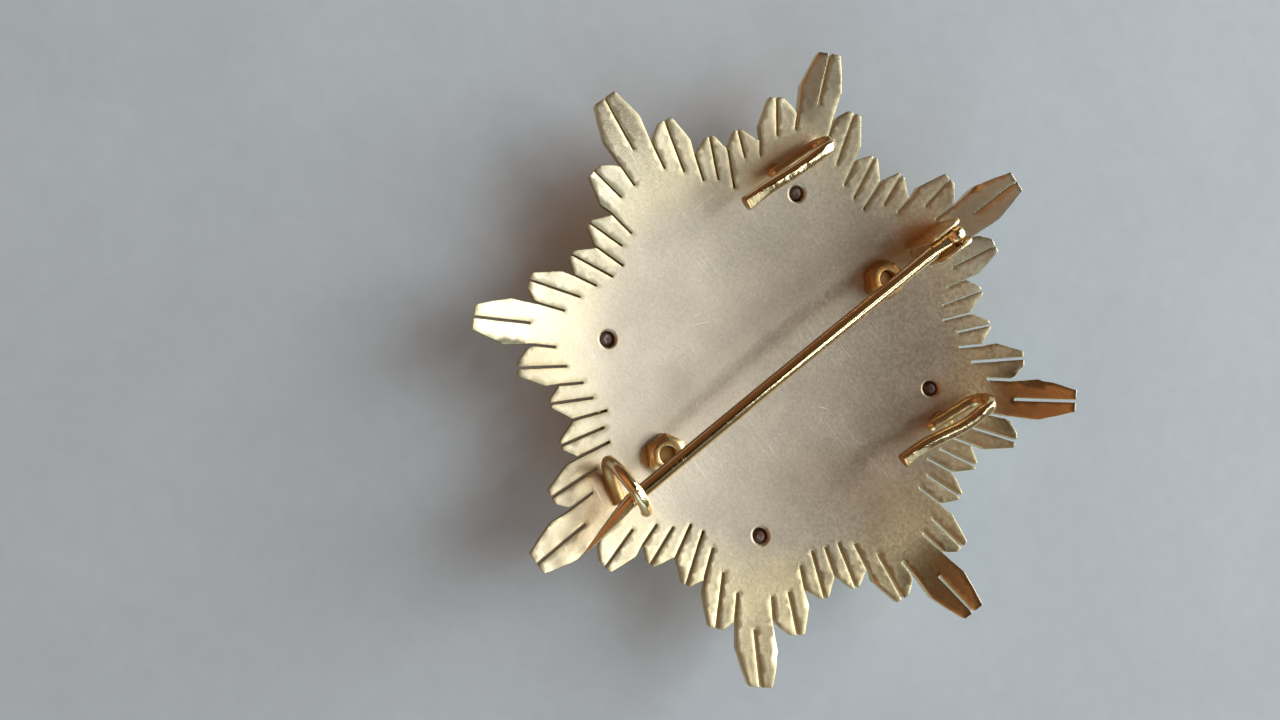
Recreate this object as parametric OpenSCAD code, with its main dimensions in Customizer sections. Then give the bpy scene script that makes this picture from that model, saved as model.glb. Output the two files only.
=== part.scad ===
// Eight-pointed breast star, lying face down with its back upwards. Millimetres, +Z up.
// The origin is below the star's centre, on the surface that the front boss rests on.
// +Y is upwards when the star is worn: the needle's hinge is on that side and its catch is opposite.

/* [Star plate] */
// Radius from the centre to the tips of the eight long points
tip_r = 40; // [36:0.5:44]
// Thickness of the star's sheet metal
sheet_t = 1.1; // [0.9:0.1:1.4]
// Radius of the shallow dish that the back of the sheet is pressed to
dish_r = 106.5; // [95:0.5:130]
// Width of the saw cuts between the rays and up their middles
cut_w = 0.35; // [0.25:0.05:0.45]

/* [Front boss] */
// Radius of the plain domed disc that covers the middle of the front
boss_r = 25; // [24.5:0.25:26]
// Radius of its flat middle, on which the star rests
boss_flat_r = 10; // [9:0.5:12]
// Depth of the disc at its middle
boss_t = 2.8; // [2.6:0.1:3.6]
// Thickness of the disc at its rim
boss_rim_t = 1; // [0.8:0.1:1.4]

/* [Nuts and rivets] */
// Distance of the two threaded studs from the centre
stud_at = 19; // [18:0.25:20]
// Diameter of the studs
stud_d = 2.3; // [2:0.1:2.5]
// Width of the nuts across their flats
nut_af = 4.8; // [4.4:0.1:5]
// Height of the nuts above the plate
nut_h = 2; // [1.6:0.1:2.4]
// Mean distance of the four rivets from the centre
rivet_at = 22.5; // [22:0.25:23]
// Diameter of the sunk rivet holes at the back
rivet_hole_d = 2.3; // [2:0.1:2.6]

/* [Brooch needle] */
// Diameter of the needle's wire
needle_d = 1.6; // [1.4:0.1:1.8]
// Height of the needle's axis over the middle of the plate
needle_h = 8.7; // [8.3:0.1:9]
// Distance of the hinge pin from the centre
hinge_y = 27.6; // [27:0.1:28]
// Sideways lean of the needle, towards the catch's mouth
needle_lean = 0.5; // [0:0.1:0.8]

/* [Catch and side hooks] */
// Diameter of the catch's wire
catch_wire_d = 1.55; // [1.3:0.05:1.7]
// Mean radius of the catch's open ring
catch_ring_r = 3.7; // [3.6:0.05:3.9]
// Distance of the catch from the centre
catch_y = 26; // [25.6:0.1:26.4]
// Diameter of the side hooks' wire
hook_wire_d = 1.5; // [1.2:0.1:1.7]

/* [Hidden] */

// Small clearances: between pieces that are clamped together, and for the needle's turning eye
seat_gap = 0.05;
eye_gap = 0.05;
pin_gap = 0.01;
// Number of long points, rays in all, and the angle from ray to ray
points_n = 8;
rays_n = 40;
ray_step = 360 / rays_n;
// Facets of the full round surfaces and of the small ones
fine = 96;
small = 40;

// Height of the back surface at the middle, and the centre of the dish's sphere
back_z = boss_t + seat_gap + sheet_t;
dish_z = back_z + dish_r;
function back_at(r) = dish_z - sqrt(dish_r * dish_r - r * r);
function front_at(r) = dish_z - sqrt(pow(dish_r + sheet_t, 2) - r * r);

// Shapes of the rays, one row a kind: the long points, the two rays beside them, the two between those.
// Columns: tip radius, half angle of the tip, then angle and radius of the shoulder nearer the long
// point, the same of the other shoulder, and how far the edges bulge between shoulder and tip
RAY_TIP = 0;
RAY_TIP_A = 1;
RAY_NEAR = 2;
RAY_FAR = 4;
RAY_BULGE = 6;
ray_kinds = [
    [tip_r, 2.1, 4.4, 36, 4.4, 36, 0.25],
    [tip_r - 5.8, 1.6, 3.9, 33, 4.3, 30.8, 0.12],
    [tip_r - 9.5, 1.0, 4.15, 29.1, 3.9, 28.5, 0.06],
];
// Radius of the notch where two neighbouring rays meet, by the number of the gap after a long point
notch_r = [32.4, 29, 28.2, 29, 32.4];
// Inner ends of the saw cuts as radii, a row for each long point, starting at the one on +X and turning
// to the left. Columns: middle of the long point, gap, ray, gap, ray, gap, ray, gap, ray, gap
cut_ends = [
    [34.5, 29.5, 29.0, 25.5, 25.5, 24.5, 25.5, 26.0, 28.0, 29.5],
    [33.0, 29.5, 27.5, 26.0, 26.0, 24.5, 25.0, 26.5, 28.0, 29.5],
    [34.0, 29.5, 29.5, 26.5, 26.0, 24.0, 24.5, 25.5, 27.5, 29.5],
    [34.0, 30.5, 29.5, 27.0, 27.0, 23.5, 25.0, 25.5, 27.5, 29.0],
    [33.0, 29.5, 29.5, 25.5, 25.5, 24.0, 24.5, 26.0, 27.5, 29.0],
    [33.0, 29.5, 28.0, 26.0, 25.0, 23.5, 24.5, 24.5, 27.5, 29.5],
    [32.5, 29.0, 28.5, 26.0, 25.0, 23.5, 23.5, 25.0, 27.5, 29.5],
    [33.5, 29.5, 29.0, 26.0, 24.5, 24.5, 24.5, 25.5, 28.0, 30.5],
];
// How far each ray's tip leans to the left of its true angle, in degrees, a row for each long point.
// Columns: the long point and the four rays after it
ray_leans = [
    [0.1, -0.5, 0, -0.2, -0.3],
    [1.0, 0.6, 0.4, 0.4, 0.1],
    [0.5, 0.6, 1.0, 0.3, 0.4],
    [0.2, 0.8, 1.2, -0.4, -0.2],
    [-0.2, 0.8, 0.8, 0.4, 0.4],
    [0.8, 0.4, -0.4, 0.4, 0.3],
    [-0.4, 0.4, -0.4, 0.6, 0.6],
    [1.2, 0.8, 0.1, -0.3, -0.6],
];

function polar(r, a) = [r * cos(a), r * sin(a)];
// Half of a saw cut's width as an angle at radius r
function cut_a(r) = asin(cut_w / 2 / r);
// Kind of ray i, and its sideways order within the group that follows a long point
function group_of(i) = floor(i / 5) % points_n;
function place_of(i) = i % 5;
function kind_of(i) = min(place_of(i), 5 - place_of(i));
// The far shoulder is on the left of the first two rays of a group and on the right of the last two
function left_side(i) = place_of(i) < 3 ? RAY_FAR : RAY_NEAR;
function right_side(i) = place_of(i) < 3 ? RAY_NEAR : RAY_FAR;

// Shoulder, bulge and tip corner on one side of a ray: side is -1 for its right edge, 1 for its left
shoulder_lean = 0.6;
function ray_edge(k, a, lean, from, side) =
    let (shoulder = polar(k[from + 1], a + shoulder_lean * lean + side * k[from]),
         corner = polar(k[RAY_TIP], a + lean + side * k[RAY_TIP_A]))
    [shoulder, (shoulder + corner) / 2 + polar(k[RAY_BULGE], a + side * 60), corner];
// Outline of ray i, from the shoulder on its right over the cut tip to the shoulder on its left
function ray_outline(i) =
    let (k = ray_kinds[kind_of(i)], a = i * ray_step, lean = ray_leans[group_of(i)][place_of(i)],
         r = k[RAY_TIP], inner = cut_ends[group_of(i)][2 * place_of(i)],
         left_edge = ray_edge(k, a, lean, left_side(i), 1))
    concat(
        ray_edge(k, a, lean, right_side(i), -1),
        [
            polar(r, a + lean - cut_a(r)),
            polar(inner, a - cut_a(inner)),
            polar(inner, a + cut_a(inner)),
            polar(r, a + lean + cut_a(r)),
        ],
        [left_edge[2], left_edge[1], left_edge[0]]
    );
// Saw cut between ray i and the next one, from the notch inwards and back
function gap_outline(i) =
    let (a = (i + 0.5) * ray_step, r = notch_r[place_of(i)],
         inner = cut_ends[group_of(i)][2 * place_of(i) + 1])
    [
        polar(r, a - cut_a(r)),
        polar(inner, a - cut_a(inner)),
        polar(inner, a + cut_a(inner)),
        polar(r, a + cut_a(r)),
    ];
function star_outline() = [for (i = [0 : rays_n - 1]) each concat(ray_outline(i), gap_outline(i))];

// Pressed shell that the star is cut from
module dished_sheet() {
    rotate_extrude($fn = fine)
        intersection() {
            translate([0, dish_z]) difference() {
                circle(r = dish_r + sheet_t, $fn = 360);
                circle(r = dish_r, $fn = 360);
            }
            square([tip_r + 2, dish_z / 4]);
        }
}

module at_studs() {
    for (side = [-1, 1]) translate([0, side * stud_at, 0]) children();
}

// Round bar bent to an arc in the XZ plane, from angle a0 over the sweep
module arc_wire(ring_r, wire_d, a0, sweep) {
    rotate([90, 0, 0]) rotate([0, 0, a0])
        rotate_extrude(angle = sweep, $fn = fine) translate([ring_r, 0]) circle(d = wire_d, $fn = small);
}

// Clevis that holds the needle: two long cheeks on a foot, soldered to the plate
cheek_t = 0.7;
cheek_in = 1.15;
cheek_r = 1.7;
cheek_front = 3.6;
cheek_back = 2.2;
clevis_foot_t = 0.9;
eye_t = 1.8;
eye_r = 1.5;
hinge_pin_d = 1.2;
needle_z = back_z + needle_h;
module hinge_bracket() {
    foot_z = back_at(hinge_y) - sheet_t / 2;
    foot_top = back_at(hinge_y) + clevis_foot_t;
    difference() {
        for (side = [-1, 1])
            translate([side * (cheek_in + cheek_t / 2), 0, 0]) rotate([90, 0, 90]) {
                linear_extrude(cheek_t, center = true)
                    polygon([[hinge_y - cheek_front, foot_z], [hinge_y + cheek_back, foot_z],
                             [hinge_y + cheek_r, needle_z], [hinge_y, needle_z + cheek_r],
                             [hinge_y - cheek_front + 0.8, needle_z + cheek_r - 0.2],
                             [hinge_y - cheek_front, needle_z]]);
                translate([hinge_y, needle_z, 0])
                    cylinder(r = cheek_r, h = cheek_t, center = true, $fn = small);
            }
        translate([0, hinge_y, needle_z]) rotate([0, 90, 0])
            cylinder(d = hinge_pin_d + 2 * pin_gap, h = 10, center = true, $fn = small);
    }
    translate([-cheek_in - cheek_t, hinge_y - cheek_front, foot_z])
        cube([2 * (cheek_in + cheek_t), cheek_front + cheek_back, foot_top - foot_z]);
}

// Open ring of wire that the needle springs up into, its mouth to the lower right
catch_x = -0.85;
catch_h = 7.15;
catch_from = 12;
catch_to = 258;
module catch() {
    translate([catch_x, -catch_y, back_z + catch_h]) {
        arc_wire(catch_ring_r, catch_wire_d, catch_from, catch_to - catch_from);
        rotate([0, -catch_from, 0]) translate([catch_ring_r, 0, 0]) sphere(d = catch_wire_d, $fn = small);
    }
    translate([catch_x - 0.4, -catch_y - 0.3, back_at(catch_y) - sheet_t / 2])
        cylinder(r1 = 2.3, r2 = 1.3, h = sheet_t / 2 + 1.1, $fn = small);
}

// J-shaped hook of round wire: a soldered leg, a turn at its upper end and a free leg above it.
// It stands on the dish, turned by yaw, leaning by tilt and rising by pitch towards its turn
hook_turn_r = 1.85;
hook_turn_h = 6.9;
module side_hook(x, turn_y, pitch, tilt, yaw, free, foot) {
    translate([x, turn_y, back_z + hook_turn_h]) rotate([pitch, tilt, yaw]) {
        rotate([0, -90, 0])
            rotate_extrude(angle = 180, $fn = fine)
                translate([hook_turn_r, 0]) circle(d = hook_wire_d, $fn = small);
        translate([0, 0, hook_turn_r]) rotate([90, 0, 0]) {
            cylinder(d = hook_wire_d, h = free, $fn = small);
            translate([0, 0, free]) sphere(d = hook_wire_d, $fn = small);
        }
        translate([0, 0, -hook_turn_r]) rotate([90, 0, 0]) {
            cylinder(d = hook_wire_d, h = foot, $fn = small);
            translate([0, 0, foot]) sphere(d = hook_wire_d, $fn = small);
        }
        translate([0, 0.5 - foot, -hook_turn_r - 2.4]) cylinder(r1 = 1.6, r2 = 0.9, h = 2.8, $fn = small);
    }
}

// Sheet, cut to rays and drilled, with the clevis, the catch and the two hooks soldered to its back
module star_plate() {
    color([0.83, 0.79, 0.66]) union() {
        difference() {
            intersection() {
                dished_sheet();
                linear_extrude(dish_z / 4) polygon(star_outline());
            }
            at_studs() cylinder(d = stud_d + 0.3, h = dish_z, center = true, $fn = small);
            at_rivets() rivet_hole();
        }
        hinge_bracket();
        catch();
        side_hook(x = -19.75, turn_y = 19.3, pitch = 4, tilt = 22, yaw = -0.8, free = 12.2, foot = 5.6);
        side_hook(x = 20.05, turn_y = 17.3, pitch = 4, tilt = 14, yaw = -6.3, free = 12.9, foot = 5.8);
    }
}

// Rivets stand square to the rest surface, half way between the needle and the side hooks
rivet_d = 1.4;
rivet_head_t = 0.2;
rivet_pip_d = 1.2;
rivet_pip_h = 0.45;
rivet_end_z = back_at(rivet_at) - sheet_t - 1;
rivet_step_z = back_at(rivet_at) - 0.75;
// Radius from the mean and angle of each, as drilled by hand
rivet_spots = [[-0.3, 45], [0.2, 135.7], [0.3, 225.5], [-0.3, 316.4]];
module at_rivet(quarter) {
    rotate([0, 0, rivet_spots[quarter][1]])
        translate([rivet_at + rivet_spots[quarter][0], 0, 0]) children();
}
module at_rivets() {
    for (quarter = [0 : 3]) at_rivet(quarter) children();
}
module rivet_hole() {
    cylinder(d = rivet_d + 0.2, h = dish_z, center = true, $fn = small);
    translate([0, 0, rivet_step_z]) cylinder(d = rivet_hole_d, h = 5, $fn = small);
}
module rivet(quarter) {
    color([0.35, 0.28, 0.2]) at_rivet(quarter) {
        translate([0, 0, rivet_end_z])
            cylinder(d = rivet_d, h = rivet_step_z + 0.1 - rivet_end_z, $fn = small);
        translate([0, 0, rivet_step_z + seat_gap]) {
            cylinder(d = rivet_hole_d - 2 * seat_gap, h = rivet_head_t, $fn = small);
            cylinder(d = rivet_pip_d, h = rivet_pip_h, $fn = small);
        }
    }
}

// Plain domed disc over the front: a flat middle, a low step and a rim that follows the plate.
// The two studs are soldered into its back, and the rivets end in it
boss_step = 0.7;
boss_dome_r = 16;
stud_sunk = 0.6;
stud_below_nut = 0.7;
module front_boss() {
    lip = front_at(boss_r) - seat_gap - boss_rim_t;
    stud_from = front_at(stud_at) - stud_sunk;
    stud_to = back_at(stud_at) + nut_h - stud_below_nut;
    color([0.86, 0.72, 0.4]) difference() {
        union() {
            difference() {
                rotate_extrude($fn = fine)
                    polygon([[0, 0], [boss_flat_r, 0], [boss_flat_r + 1.5, boss_step],
                             [boss_dome_r, 2 * boss_step], [boss_r - 1, lip - 0.15], [boss_r, lip + 0.25],
                             [boss_r, dish_z / 4], [0, dish_z / 4]]);
                translate([0, 0, dish_z]) sphere(r = dish_r + sheet_t + seat_gap, $fn = 360);
            }
            at_studs() translate([0, 0, stud_from])
                cylinder(d = stud_d, h = stud_to - stud_from, $fn = small);
        }
        at_rivets() translate([0, 0, rivet_end_z - seat_gap])
            cylinder(d = rivet_d + 2 * seat_gap, h = 5, $fn = small);
    }
}

// Hexagon nut with its upper corners chamfered, its lower face bedded to the dish
module nut() {
    top = back_at(stud_at) + nut_h;
    corner_r = nut_af / 2 / cos(30);
    bore_d = stud_d + 0.2;
    difference() {
        intersection() {
            cylinder(r = corner_r, h = top, $fn = 6);
            rotate_extrude($fn = small)
                polygon([[0, 0], [corner_r + 0.1, 0], [corner_r + 0.1, top - 0.35],
                         [nut_af / 2 - 0.25, top], [0, top]]);
        }
        cylinder(d = bore_d, h = 3 * top, center = true, $fn = small);
        translate([0, 0, top - 0.3]) cylinder(d1 = bore_d, d2 = bore_d + 0.6, h = 0.31, $fn = small);
    }
}
module nut_on_dish(side) {
    color([0.78, 0.6, 0.3]) intersection() {
        translate([0, side * stud_at, 0]) nut();
        translate([0, 0, dish_z]) sphere(r = dish_r - seat_gap, $fn = 360);
    }
}

// Rivet through the clevis's cheeks, the axle of the needle's eye
module hinge_pin() {
    color([0.75, 0.62, 0.36]) translate([0, hinge_y, needle_z]) rotate([0, 90, 0])
        cylinder(d = hinge_pin_d, h = 2 * (cheek_in + cheek_t) + 0.3, center = true, $fn = small);
}

// Needle: a flat eye on the hinge pin, a straight shaft to the catch and a tapered tip bent sideways
needle_shaft = hinge_y + catch_y + 0.8;
needle_tip = 8.2;
module needle() {
    color([0.8, 0.66, 0.4]) difference() {
        translate([0, hinge_y, needle_z]) {
            rotate([0, 90, 0]) cylinder(r = eye_r, h = eye_t, center = true, $fn = small);
            rotate([90, 0, needle_lean]) {
                cylinder(d = needle_d, h = needle_shaft, $fn = small);
                translate([0, 0, needle_shaft]) {
                    sphere(d = needle_d, $fn = small);
                    rotate([2, 10, 0]) cylinder(d1 = needle_d, d2 = 0.25, h = needle_tip, $fn = small);
                }
            }
        }
        translate([0, hinge_y, needle_z]) rotate([0, 90, 0])
            cylinder(d = hinge_pin_d + 2 * eye_gap, h = 4, center = true, $fn = small);
    }
}

star_plate();
front_boss();
nut_on_dish(1);  // nut_top
nut_on_dish(-1);  // nut_bottom
rivet(0);  // rivet_a
rivet(1);  // rivet_b
rivet(2);  // rivet_c
rivet(3);  // rivet_d
hinge_pin();
needle();
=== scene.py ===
import math

import bpy
import numpy as np
from mathutils import Matrix, Vector, geometry, kdtree, noise


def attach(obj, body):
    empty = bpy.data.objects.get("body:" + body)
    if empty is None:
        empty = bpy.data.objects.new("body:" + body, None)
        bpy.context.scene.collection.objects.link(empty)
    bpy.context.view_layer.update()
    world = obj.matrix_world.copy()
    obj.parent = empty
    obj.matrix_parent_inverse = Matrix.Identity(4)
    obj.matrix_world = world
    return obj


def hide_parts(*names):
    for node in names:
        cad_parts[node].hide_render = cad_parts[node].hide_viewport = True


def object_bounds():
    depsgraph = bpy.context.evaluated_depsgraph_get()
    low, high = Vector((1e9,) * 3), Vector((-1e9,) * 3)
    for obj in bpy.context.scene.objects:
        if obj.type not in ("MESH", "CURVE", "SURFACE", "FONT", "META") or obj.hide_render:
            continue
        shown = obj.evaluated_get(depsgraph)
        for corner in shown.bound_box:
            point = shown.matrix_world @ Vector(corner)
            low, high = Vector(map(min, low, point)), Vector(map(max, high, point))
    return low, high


# Back of an eight-pointed breast star: a dished sheet cut to forty rays, with a brooch needle, its
# hinge and catch, two side hooks, two nuts and four sunk rivets, lying on its domed front boss
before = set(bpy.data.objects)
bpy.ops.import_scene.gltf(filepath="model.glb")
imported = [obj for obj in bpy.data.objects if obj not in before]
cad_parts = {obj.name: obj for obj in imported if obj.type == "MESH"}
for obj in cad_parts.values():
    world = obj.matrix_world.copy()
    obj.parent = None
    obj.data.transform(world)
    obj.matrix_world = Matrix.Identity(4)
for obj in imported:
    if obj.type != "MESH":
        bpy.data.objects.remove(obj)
CAD_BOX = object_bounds()

bl_info = {
    "name": "Breast star back",
    "version": (1, 0, 0),
    "blender": (4, 5, 0),
    "location": "3D View > Sidebar > Star",
    "description": "Gilt breast star seen from its back, with needle, catch, hooks, nuts and rivets",
    "category": "Add Mesh",
}

# One millimetre in scene units. Shapes are worked out in millimetres and turned to metres at the end
MM = 0.001


def length(name, about, default_mm, low_mm, high_mm):
    """A length property, given in millimetres and kept in metres."""
    return bpy.props.FloatProperty(
        name=name, description=about, default=default_mm * MM, min=low_mm * MM, max=high_mm * MM,
        unit="LENGTH", subtype="DISTANCE", precision=5)


def share(name, about, default, high):
    """A plain number from 0 up."""
    return bpy.props.FloatProperty(name=name, description=about, default=default, min=0.0, max=high)


def direction(name, about, degrees):
    """An angle, given in degrees."""
    return bpy.props.FloatProperty(
        name=name, description=about, default=math.radians(degrees), unit="ROTATION", subtype="ANGLE")


def metal_colour(name, about, default):
    """A linear RGB colour."""
    return bpy.props.FloatVectorProperty(
        name=name, description=about, default=default, min=0.0, max=1.0, size=3, subtype="COLOR")


class StarPlateSizes(bpy.types.PropertyGroup):
    """Sizes of the cut sheet that are not read from the imported model."""

    cut_w: length("Saw cut", "Width of the saw cuts between and up the rays", 0.31, 0.2, 0.45)
    edge_round: length("Edge rounding", "How far the cut edges are rounded over", 0.08, 0.03, 0.15)
    mesh_step: length("Mesh step", "Spacing of the mesh points along the cut edges", 0.42, 0.3, 1.0)
    ray_bend: share("Ray bending", "How strongly the rays are bent and twisted", 1.0, 2.0)
    dents: length("Dents", "Depth of the soft dents left in the sheet", 0.06, 0.0, 0.3)


class FittingSizes(bpy.types.PropertyGroup):
    """Wire and nut sizes."""

    needle_d: length("Needle", "Diameter of the needle's wire", 1.75, 1.4, 1.8)
    hook_wire_d: length("Hook wire", "Diameter of the side hooks' wire", 1.7, 1.2, 1.8)
    catch_wire_d: length("Catch wire", "Diameter of the catch's wire", 1.55, 1.3, 1.6)
    nut_af: length("Nut", "Width of the nuts across their flats", 4.8, 4.4, 4.8)
    hand_work: share("Hand work", "Unevenness of the bent and hammered wires", 1.0, 2.0)


class MedalColours(bpy.types.PropertyGroup):
    """Colours of the metals."""

    frost: metal_colour("Frosted gilt", "Blasted middle of the back", (0.635, 0.53, 0.405))
    gilt: metal_colour("Bright gilt", "Rays at the rim of the back", (0.94, 0.76, 0.46))
    wire: metal_colour("Wire gilt", "Polished gold of needle, catch and hooks", (0.95, 0.73, 0.42))
    solder: metal_colour("Solder", "Yellow solder at the fittings' feet", (0.84, 0.58, 0.22))
    nut: metal_colour("Lower nut", "Yellow gold of the lower nut", (0.86, 0.66, 0.34))
    brown_nut: metal_colour("Upper nut", "Browned gold of the nut at the hinge", (0.50, 0.27, 0.09))
    front: metal_colour("Front gilt", "Polished gold of the front boss", (0.88, 0.66, 0.33))
    pin: metal_colour("Rivet", "Dull steel of the rivets", (0.22, 0.17, 0.15))
    # The tarnish colour is also the colour of the painted shade beside the fittings and on shaded parts of
    # the wires
    tarnish: metal_colour("Tarnish", "Brown film near solder and in corners", (0.50, 0.30, 0.12))


class StudioLight(bpy.types.PropertyGroup):
    """Floor and light of the studio."""

    window: bpy.props.FloatProperty(
        name="Window", description="Power of the large soft window light", default=7.8, min=0.0,
        max=50.0, unit="POWER")
    window_from: direction("Window direction", "Where the window is round the star, from +X", 65)
    window_up: direction("Window height", "Height of the window over the horizon", 26)
    sky: share("Room light", "Strength of the soft light from the room", 1.0, 3.0)
    floor: metal_colour("Floor", "Pale grey of the floor", (0.64, 0.69, 0.72))


SETTINGS = {
    "medal_plate": StarPlateSizes,
    "medal_fittings": FittingSizes,
    "medal_colours": MedalColours,
    "medal_studio": StudioLight,
}


# Small sums that many shapes use

def clamp(value):
    """The value held between 0 and 1."""
    return min(1.0, max(0.0, value))


def smooth(t):
    """Soft step from 0 to 1."""
    return t * t * (3 - 2 * t)


def hump(value, middle, width):
    """Bell curve: 1 at its middle, about a third at its width."""
    return math.exp(-((value - middle) / width) ** 2)


def nothing(t):
    """No mark anywhere along a wire."""
    return 0.0


def circle(count):
    """Angles all the way round, in radians."""
    return [2 * math.pi * n / count for n in range(count)]


def polar(r, degrees):
    """Point at radius r and an angle from +X."""
    a = math.radians(degrees)
    return np.array([r * math.cos(a), r * math.sin(a)])


def rotation(axis, degrees):
    """Turn about one axis."""
    return Matrix.Rotation(math.radians(degrees), 4, axis)


def unevenness(x, y, size, seed):
    """Smooth random value from about -1 to 1 that changes over the given size."""
    return noise.noise(Vector((x / size, y / size, 7.3 * seed)))


# Shape of the dished sheet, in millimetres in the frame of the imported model: the star rests on z = 0
TIP_R = CAD_BOX[1].x / MM
REST_GAP = 0.05
BOSS_R, BOSS_T = 25.0, 2.8
SHEET_T = 1.1
DISH_R = 106.5
BACK_Z = BOSS_T + REST_GAP + SHEET_T
DISH_Z = BACK_Z + DISH_R
RAYS = 40
RAY_STEP = 360 / RAYS
# Roughness of the cut edges and of the sawn ones, and the turn from which a corner is softened
EDGE_ROUGH, SAW_ROUGH = 0.03, 0.012
SOFT_FROM = math.radians(14)
# Mesh points of the sheet: spacing in the middle and on the rays, the radius between the two, and how
# near they may come to an edge
WIDE_GAP, FINE_GAP, FINE_FROM, EDGE_CLEAR = 1.15, 0.62, 20, 0.26
# Sides of the drilled holes and of the round wires
HOLE_SIDES, WIRE_SIDES = 36, 32
# Depth of a hammered flat at which it is fully frosted
FROST_DEPTH = 0.03

# The long points, the two rays beside them, and the two between those: radius of the tip and its half
# width in degrees, half width and radius of the shoulder on the side of the long point and on the far
# side, and the bulge of the sides
RAY_KINDS = [
    (TIP_R, 2.1, (4.4, 36.0), (4.4, 36.0), 0.05),
    (TIP_R - 5.8, 1.6, (3.9, 33.0), (4.3, 30.8), 0.02),
    (TIP_R - 9.5, 1.0, (4.15, 29.1), (3.9, 28.5), 0.0),
]
# Radius of the notch between neighbouring rays, by the number of the gap after a long point
NOTCH_R = [32.4, 29.0, 28.2, 29.0, 32.4]
# Inner ends of the saw cuts as radii, a row for each long point, the one on +X first and turning left.
# Columns: middle of the long point, gap, ray, gap, ray, gap, ray, gap, ray, gap
CUT_ENDS = [
    [34.5, 29.5, 29.0, 25.5, 25.5, 24.5, 25.5, 26.0, 28.0, 29.5],
    [33.0, 29.5, 27.5, 26.0, 26.0, 24.5, 25.0, 26.5, 28.0, 29.5],
    [34.0, 29.5, 29.5, 26.5, 26.0, 24.0, 24.5, 25.5, 27.5, 29.5],
    [34.0, 30.5, 29.5, 27.0, 27.0, 23.5, 25.0, 25.5, 27.5, 29.0],
    [33.0, 29.5, 29.5, 25.5, 25.5, 24.0, 24.5, 26.0, 27.5, 29.0],
    [33.0, 29.5, 28.0, 26.0, 25.0, 23.5, 24.5, 24.5, 27.5, 29.5],
    [32.5, 29.0, 28.5, 26.0, 25.0, 23.5, 23.5, 25.0, 27.5, 29.5],
    [33.5, 29.5, 29.0, 26.0, 24.5, 24.5, 24.5, 25.5, 28.0, 30.5],
]
# How far each ray's tip leans to the left of its true angle, in degrees, a row for each long point.
# Columns: the long point and the four rays after it
RAY_LEANS = [
    [0.1, -0.5, 0.0, -0.2, -0.3],
    [1.0, 0.6, 0.4, 0.4, 0.1],
    [0.5, 0.6, 1.0, 0.3, 0.4],
    [0.2, 0.8, 1.2, -0.4, -0.2],
    [-0.2, 0.8, 0.8, 0.4, 0.4],
    [0.8, 0.4, -0.4, 0.4, 0.3],
    [-0.4, 0.4, -0.4, 0.6, 0.6],
    [1.2, 0.8, 0.1, -0.3, -0.6],
]
# Share of its tip's lean that a ray's shoulders take
SHOULDER_LEAN = 0.6
# How each long point was bent by hand, the one on +X first: rise of its tip in millimetres, twist in
# degrees, how far its two halves are folded up from the saw cut in degrees, and its small dents
POINT_BENDS = [
    (0.64, 7.0, 1.0, 0.02), (0.92, 2.0, -1.0, 0.02), (0.45, 2.0, 1.0, 0.02), (0.05, -5.0, -5.0, 0.04),
    (-0.66, -6.0, 1.5, 0.07), (0.05, 0.5, 0.8, 0.09), (-0.65, -2.0, 1.5, 0.17), (-0.05, 2.0, 1.5, 0.08),
]


def back_at(r):
    """Height of the sheet's back at radius r."""
    return DISH_Z - math.sqrt(DISH_R * DISH_R - r * r)


def front_at(r):
    """Height of the sheet's front, which lies downwards, at radius r."""
    return DISH_Z - math.sqrt((DISH_R + SHEET_T) ** 2 - r * r)


def on_dish(x, y, rise):
    """Place over a point of the back, turned so that its own Z stands square to the sheet there."""
    r = math.hypot(x, y)
    upright = Vector((-x, -y, math.sqrt(DISH_R * DISH_R - r * r))).normalized()
    return (Matrix.Translation(Vector((x, y, back_at(r))) + upright * rise)
            @ upright.to_track_quat("Z", "Y").to_matrix().to_4x4())


def opened(cut_w, degrees):
    """Width of a saw cut: the sheet was sprung open at 20 degrees, and pressed together across from it
    and beside the hinge."""
    return cut_w * (1 + 0.20 * math.cos(math.radians(degrees - 20)) - 0.80 * hump(degrees, 82, 16))


def cut_corners(cut_w, outer, inner, degrees, lean=0.0):
    """Corners of a saw cut, from its outer end inwards and back. Each corner of an outline comes with
    True where the edge that follows it is a side of a saw cut."""
    wide, narrow = (math.degrees(math.asin(cut_w / 2 / r)) for r in (outer, inner))
    return [(polar(outer, degrees + lean - wide), True), (polar(inner, degrees - narrow), True),
            (polar(inner, degrees + narrow), True), (polar(outer, degrees + lean + wide), False)]


def ray_outline(i, cut_w):
    """Corners of ray i, from the shoulder on its right over its cut tip to the shoulder on its left."""
    group, place = divmod(i, 5)
    r, tip, near, far, bulge = RAY_KINDS[min(place, 5 - place)]
    a, lean = i * RAY_STEP, RAY_LEANS[group][place]

    def edge(half, shoulder_r, side):
        shoulder = polar(shoulder_r, a + SHOULDER_LEAN * lean + side * half)
        corner = polar(r, a + lean + side * tip)
        middle = (shoulder + corner) / 2 + polar(bulge, a + side * 60)
        return [(shoulder, False), (middle, False), (corner, False)]

    right, left = (near, far) if place < 3 else (far, near)
    return (edge(*right, -1) + cut_corners(opened(cut_w, a), r, CUT_ENDS[group][2 * place], a, lean)
            + edge(*left, 1)[::-1])


def gap_outline(i, cut_w):
    """Corners of the saw cut between ray i and the next, from the notch inwards and back."""
    group, place = divmod(i, 5)
    a = (i + 0.5) * RAY_STEP
    return cut_corners(opened(cut_w, a), NOTCH_R[place], CUT_ENDS[group][2 * place + 1], a)


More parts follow.
